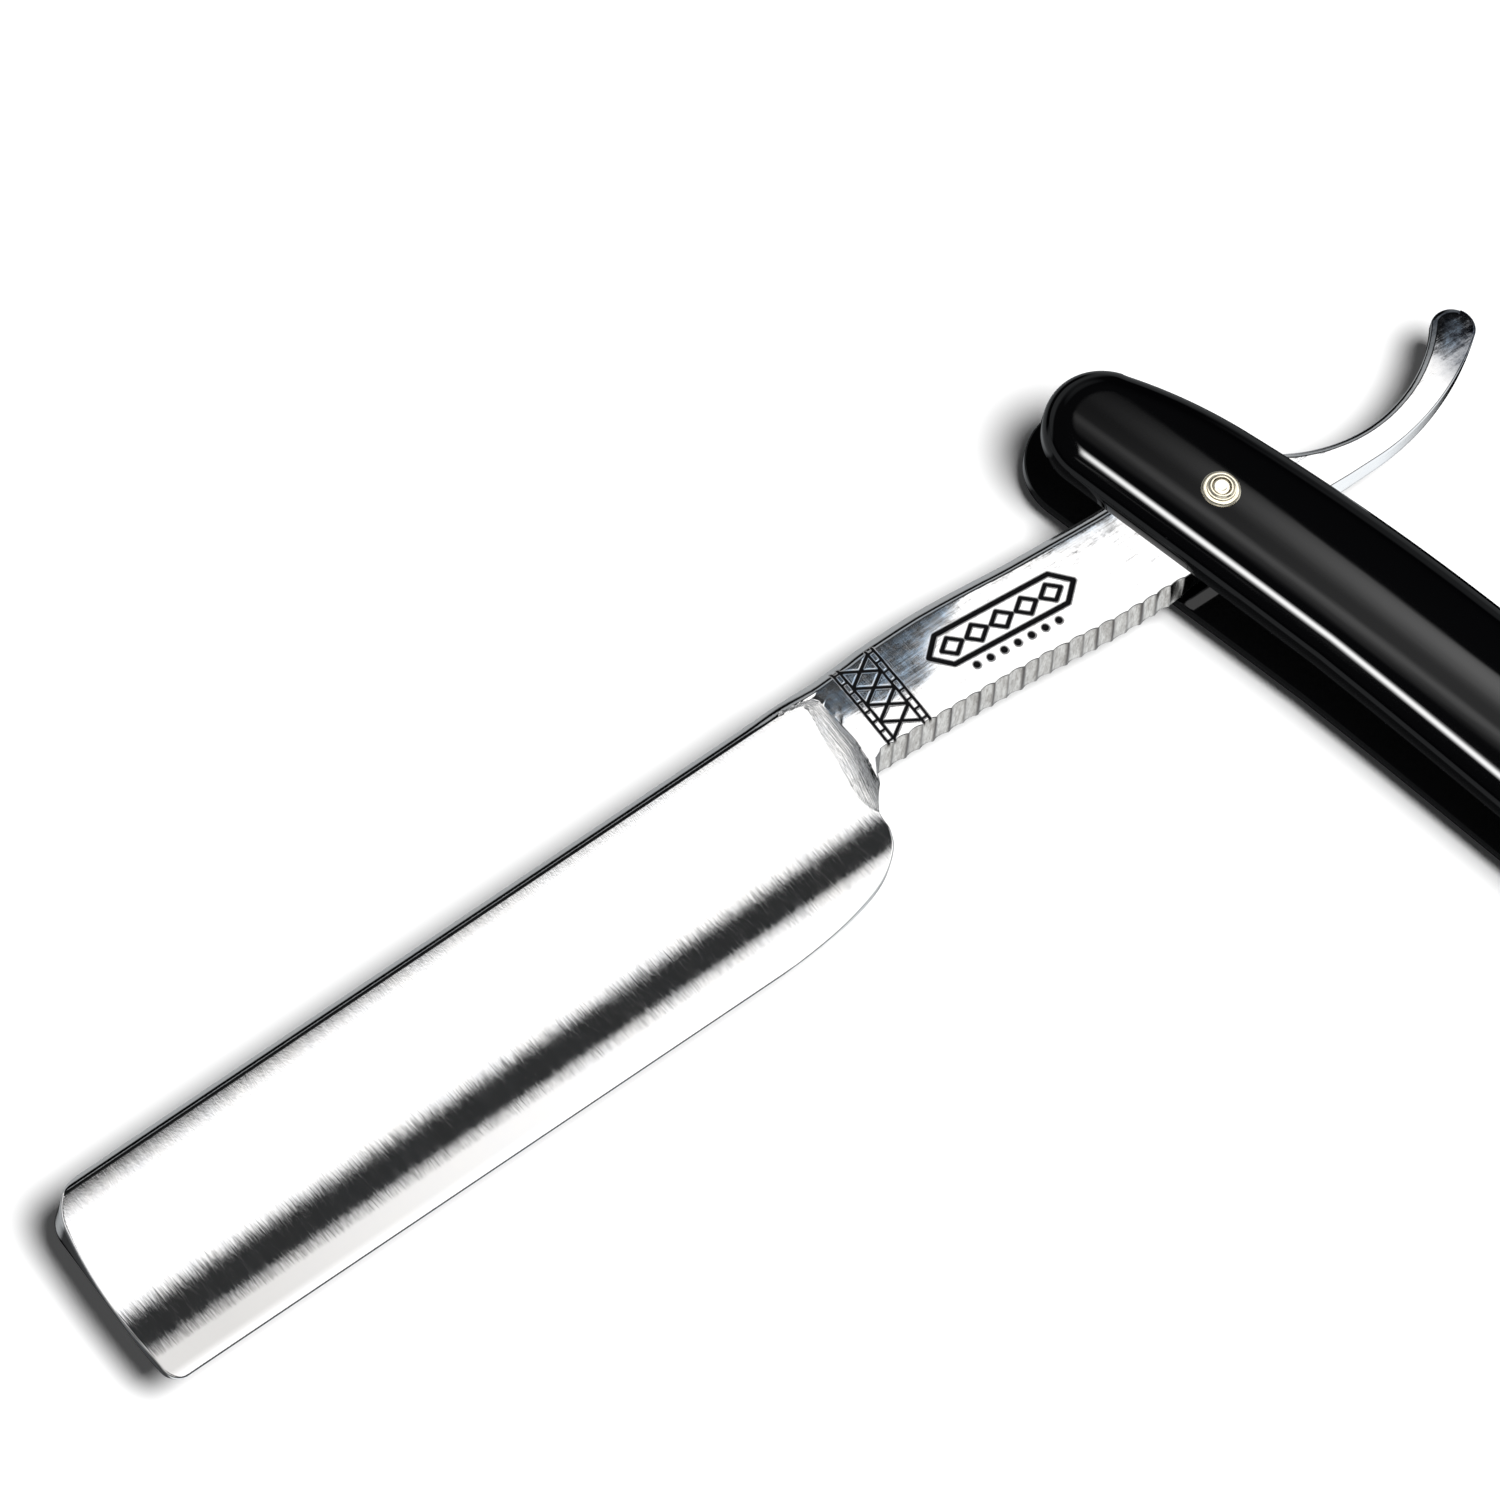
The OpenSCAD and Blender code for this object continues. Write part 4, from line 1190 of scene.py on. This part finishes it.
def card(name, corners, strength, soft, color=(1, 1, 1), only=None):
    """A glowing card with soft edges, seen in reflections only. corners in metres, in order round it."""
    lift = 1.0 + 0.012 * len(CARDS)
    CARDS.append(name)
    corners = [tuple(lift * k for k in c) for c in corners]
    me = bpy.data.meshes.new(name)
    me.from_pydata([tuple(c) for c in corners], [], [(0, 1, 2, 3)])
    uv = me.uv_layers.new(name="UVMap")
    for i, c in enumerate([(0, 0), (1, 0), (1, 1), (0, 1)]):
        uv.data[i].uv = c
    m = bpy.data.materials.new(name)
    m.use_nodes = True
    nt = m.node_tree
    nt.nodes.clear()
    out = nt.nodes.new("ShaderNodeOutputMaterial")
    em = nt.nodes.new("ShaderNodeEmission")
    em.inputs["Color"].default_value = (*color, 1)
    tc = nt.nodes.new("ShaderNodeTexCoord")
    sx = nt.nodes.new("ShaderNodeSeparateXYZ")
    nt.links.new(tc.outputs["UV"], sx.inputs[0])
    prod = None
    for ax, (s0, s1) in zip("XY", soft):
        for lo, hi in ((0.0, s0), (1.0, 1.0 - s1)):
            if abs(hi - lo) < 1e-6:
                continue
            r = nt.nodes.new("ShaderNodeMapRange")
            r.interpolation_type = "SMOOTHSTEP"
            r.inputs["From Min"].default_value = lo
            r.inputs["From Max"].default_value = hi
            nt.links.new(sx.outputs[ax], r.inputs["Value"])
            prod = r.outputs[0] if prod is None else math_node(nt, "MULTIPLY", prod, r.outputs[0])
    if prod is None:
        em.inputs["Strength"].default_value = strength
    else:
        nt.links.new(math_node(nt, "MULTIPLY", prod, float(strength)), em.inputs["Strength"])
    clear = nt.nodes.new("ShaderNodeBsdfTransparent")
    both = nt.nodes.new("ShaderNodeAddShader")
    nt.links.new(em.outputs[0], both.inputs[0])
    nt.links.new(clear.outputs[0], both.inputs[1])
    nt.links.new(both.outputs[0], out.inputs[0])
    me.materials.append(m)
    o = bpy.data.objects.new(name, me)
    bpy.context.scene.collection.objects.link(o)
    o.visible_camera = False
    o.visible_diffuse = False
    o.visible_shadow = False
    o.visible_transmission = False
    if only is not None:
        o.light_linking.receiver_collection = only
    return o


obj = bpy.data.objects
handle_parts = receivers("handle_parts", [obj["front_scale"], obj["end_wedge"]])
metal_parts = receivers("metal_parts", [obj["blade_body"]])
small_parts = receivers("small_parts", [o for o in bpy.context.scene.objects if o.name.startswith(("pivot_", "wedge_", "tang_")) and o.type == "MESH" and "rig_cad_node" not in o])

HZ = 0.65


def uv3(u, v):
    """A point of the card plane from metres along and across the blade."""
    return (u * UX[0] + v * VX[0], u * UX[1] + v * VX[1], HZ)


# broad overhead box that whitens the blade's face, cut off along a line beside the blade
def left_edge(u):
    return -0.2329 + 0.12 * (u + 0.222)


def right_edge(u):
    return 0.378 - 0.80 * (u + 0.232)


U0, U1 = -0.62, 0.17
card("box_blade", [uv3(U0, left_edge(U0) - 0.018), uv3(U1, left_edge(U1) - 0.018), uv3(U1, right_edge(U1)), uv3(U0, right_edge(U0))],
     1.36, ((0.04, 0.12), (0.125, 0.12)), only=metal_parts)
card("box_heel", [uv3(0.08, -0.35), uv3(0.95, -0.35), uv3(0.95, 0.55), uv3(0.08, 0.55)],
     0.95, ((0.14, 0.35), (0.15, 0.15)), only=metal_parts)
# handle: a dim broad band in three steps, and one bright narrow strip
card("band_a", [(-0.148, 0.260, HZ), (0.9, 0.260, HZ), (0.9, 0.398, HZ), (-0.148, 0.398, HZ)], 2.0,
     ((0.058, 0.02), (0.67, 0.14)), only=handle_parts)
card("band_b", [(-0.150, 0.160, HZ), (0.9, 0.160, HZ), (0.9, 0.390, HZ), (-0.150, 0.390, HZ)], 0.55,
     ((0.055, 0.02), (0.12, 0.12)), only=handle_parts)
card("band_c", [(-0.152, 0.184, HZ), (0.9, 0.184, HZ), (0.9, 0.236, HZ), (-0.152, 0.236, HZ)], 1.1,
     ((0.055, 0.02), (0.5, 0.5)), only=handle_parts)
card("strip_handle", [(-0.136, -0.106, HZ), (0.9, -0.106, HZ), (0.9, 0.120, HZ), (-0.136, 0.120, HZ)], 24.0,
     ((0.030, 0.02), (0.46, 0.46)), only=handle_parts)
card("box_pins", [(-0.42, -0.30, HZ), (0.45, -0.30, HZ), (0.45, 0.80, HZ), (-0.42, 0.80, HZ)], 2.0,
     ((0.1, 0.1), (0.1, 0.1)), only=small_parts)

sun = bpy.data.lights.new("key", "SUN")
sun.energy = 4.5
sun.angle = math.radians(30)
so = bpy.data.objects.new("key", sun)
bpy.context.scene.collection.objects.link(so)
ldir = Vector((0.38, -0.03, 1.0)).normalized()
so.rotation_mode = "QUATERNION"
so.rotation_quaternion = (-ldir).to_track_quat("-Z", "Y")
so.visible_glossy = False

# surroundings: white to the eye, soft fill for the floor, and for reflections a dark room with a pale
# ground on the right-hand side
world = bpy.data.worlds.new("studio")
bpy.context.scene.world = world
world.use_nodes = True
nt = world.node_tree
nt.nodes.clear()
out = nt.nodes.new("ShaderNodeOutputWorld")
lp = nt.nodes.new("ShaderNodeLightPath")
tc = nt.nodes.new("ShaderNodeTexCoord")
sep = nt.nodes.new("ShaderNodeSeparateXYZ")
nt.links.new(tc.outputs["Generated"], sep.inputs[0])
bg_cam = nt.nodes.new("ShaderNodeBackground")
bg_cam.inputs["Color"].default_value = (1, 1, 1, 1)
bg_fill = nt.nodes.new("ShaderNodeBackground")
bg_fill.inputs["Color"].default_value = (0.98, 0.99, 1.0, 1)
bg_fill.inputs["Strength"].default_value = 0.068
bg_gl = nt.nodes.new("ShaderNodeBackground")
low = ramp(nt, sep.outputs["Z"], 0.05, -0.15)
right = ramp(nt, sep.outputs["X"], 0.05, 0.35, 0.0, 1.10)
dir_u = math_node(nt, "ADD", math_node(nt, "MULTIPLY", sep.outputs["X"], float(UX[0])), math_node(nt, "MULTIPLY", sep.outputs["Y"], float(UX[1])))
dir_v = math_node(nt, "ADD", math_node(nt, "MULTIPLY", sep.outputs["X"], float(VX[0])), math_node(nt, "MULTIPLY", sep.outputs["Y"], float(VX[1])))
toe_l = ramp(nt, dir_u, 0.15, 0.35, 0.0, 0.07)
back_l = ramp(nt, dir_v, -0.385, -0.465, 0.0, 0.42)
sides = math_node(nt, "MAXIMUM", right.outputs[0], math_node(nt, "MAXIMUM", toe_l.outputs[0], back_l.outputs[0]))
under_l = math_node(nt, "MULTIPLY", low.outputs[0], sides)
up_l = ramp(nt, sep.outputs["Z"], 0.55, 0.80, 0.0, 0.030)
# a pale strip of room just over the horizon, missing on the spine's side
room = math_node(nt, "MULTIPLY", ramp(nt, sep.outputs["Z"], -0.12, 0.0).outputs[0], ramp(nt, sep.outputs["Z"], 0.50, 0.38).outputs[0])
room = math_node(nt, "MULTIPLY", room, ramp(nt, dir_v, -0.82, -0.70, 0.0, 0.42).outputs[0])
# and a pale patch half way up on that side
patch = math_node(nt, "MULTIPLY", ramp(nt, dir_v, -0.50, -0.60, 0.0, 0.40).outputs[0], ramp(nt, sep.outputs["Z"], 0.39, 0.47).outputs[0])
room = math_node(nt, "MAXIMUM", room, patch)
up_all = math_node(nt, "ADD", up_l.outputs[0], room)
nt.links.new(math_node(nt, "ADD", under_l, up_all), bg_gl.inputs["Strength"])
bg_gl.inputs["Color"].default_value = (0.93, 0.97, 1.0, 1)
mix1 = nt.nodes.new("ShaderNodeMixShader")
mix2 = nt.nodes.new("ShaderNodeMixShader")
nt.links.new(lp.outputs["Is Glossy Ray"], mix1.inputs[0])
nt.links.new(bg_fill.outputs[0], mix1.inputs[1])
nt.links.new(bg_gl.outputs[0], mix1.inputs[2])
nt.links.new(lp.outputs["Is Camera Ray"], mix2.inputs[0])
nt.links.new(mix1.outputs[0], mix2.inputs[1])
nt.links.new(bg_cam.outputs[0], mix2.inputs[2])
nt.links.new(mix2.outputs[0], out.inputs[0])

scene = bpy.context.scene
scene.view_settings.view_transform = "Standard"
scene.view_settings.look = "None"
scene.view_settings.exposure = 0.0

# ------------------------------------------------------------------- camera
Bv = Vector((0.1797, -0.4337, 0.8829)).normalized()
Uv = Vector((-0.5996, 0.6634, 0.4479))
Rv = Uv.cross(Bv).normalized()
Uv = Bv.cross(Rv).normalized()
look = Vector((-17.46, -38.54, -3.28)) * MM
dist = 5.0
cam = bpy.data.cameras.new("camera")
cam.sensor_width = 36.0
cam.lens = 36.0 * dist * 1000 / 124.8
cam.clip_start = 0.05
cam.clip_end = 60
co = bpy.data.objects.new("camera", cam)
bpy.context.scene.collection.objects.link(co)
mw = Matrix((Rv, Uv, Bv)).transposed().to_4x4()
mw.translation = look + Bv * dist
co.matrix_world = mw
scene.camera = co
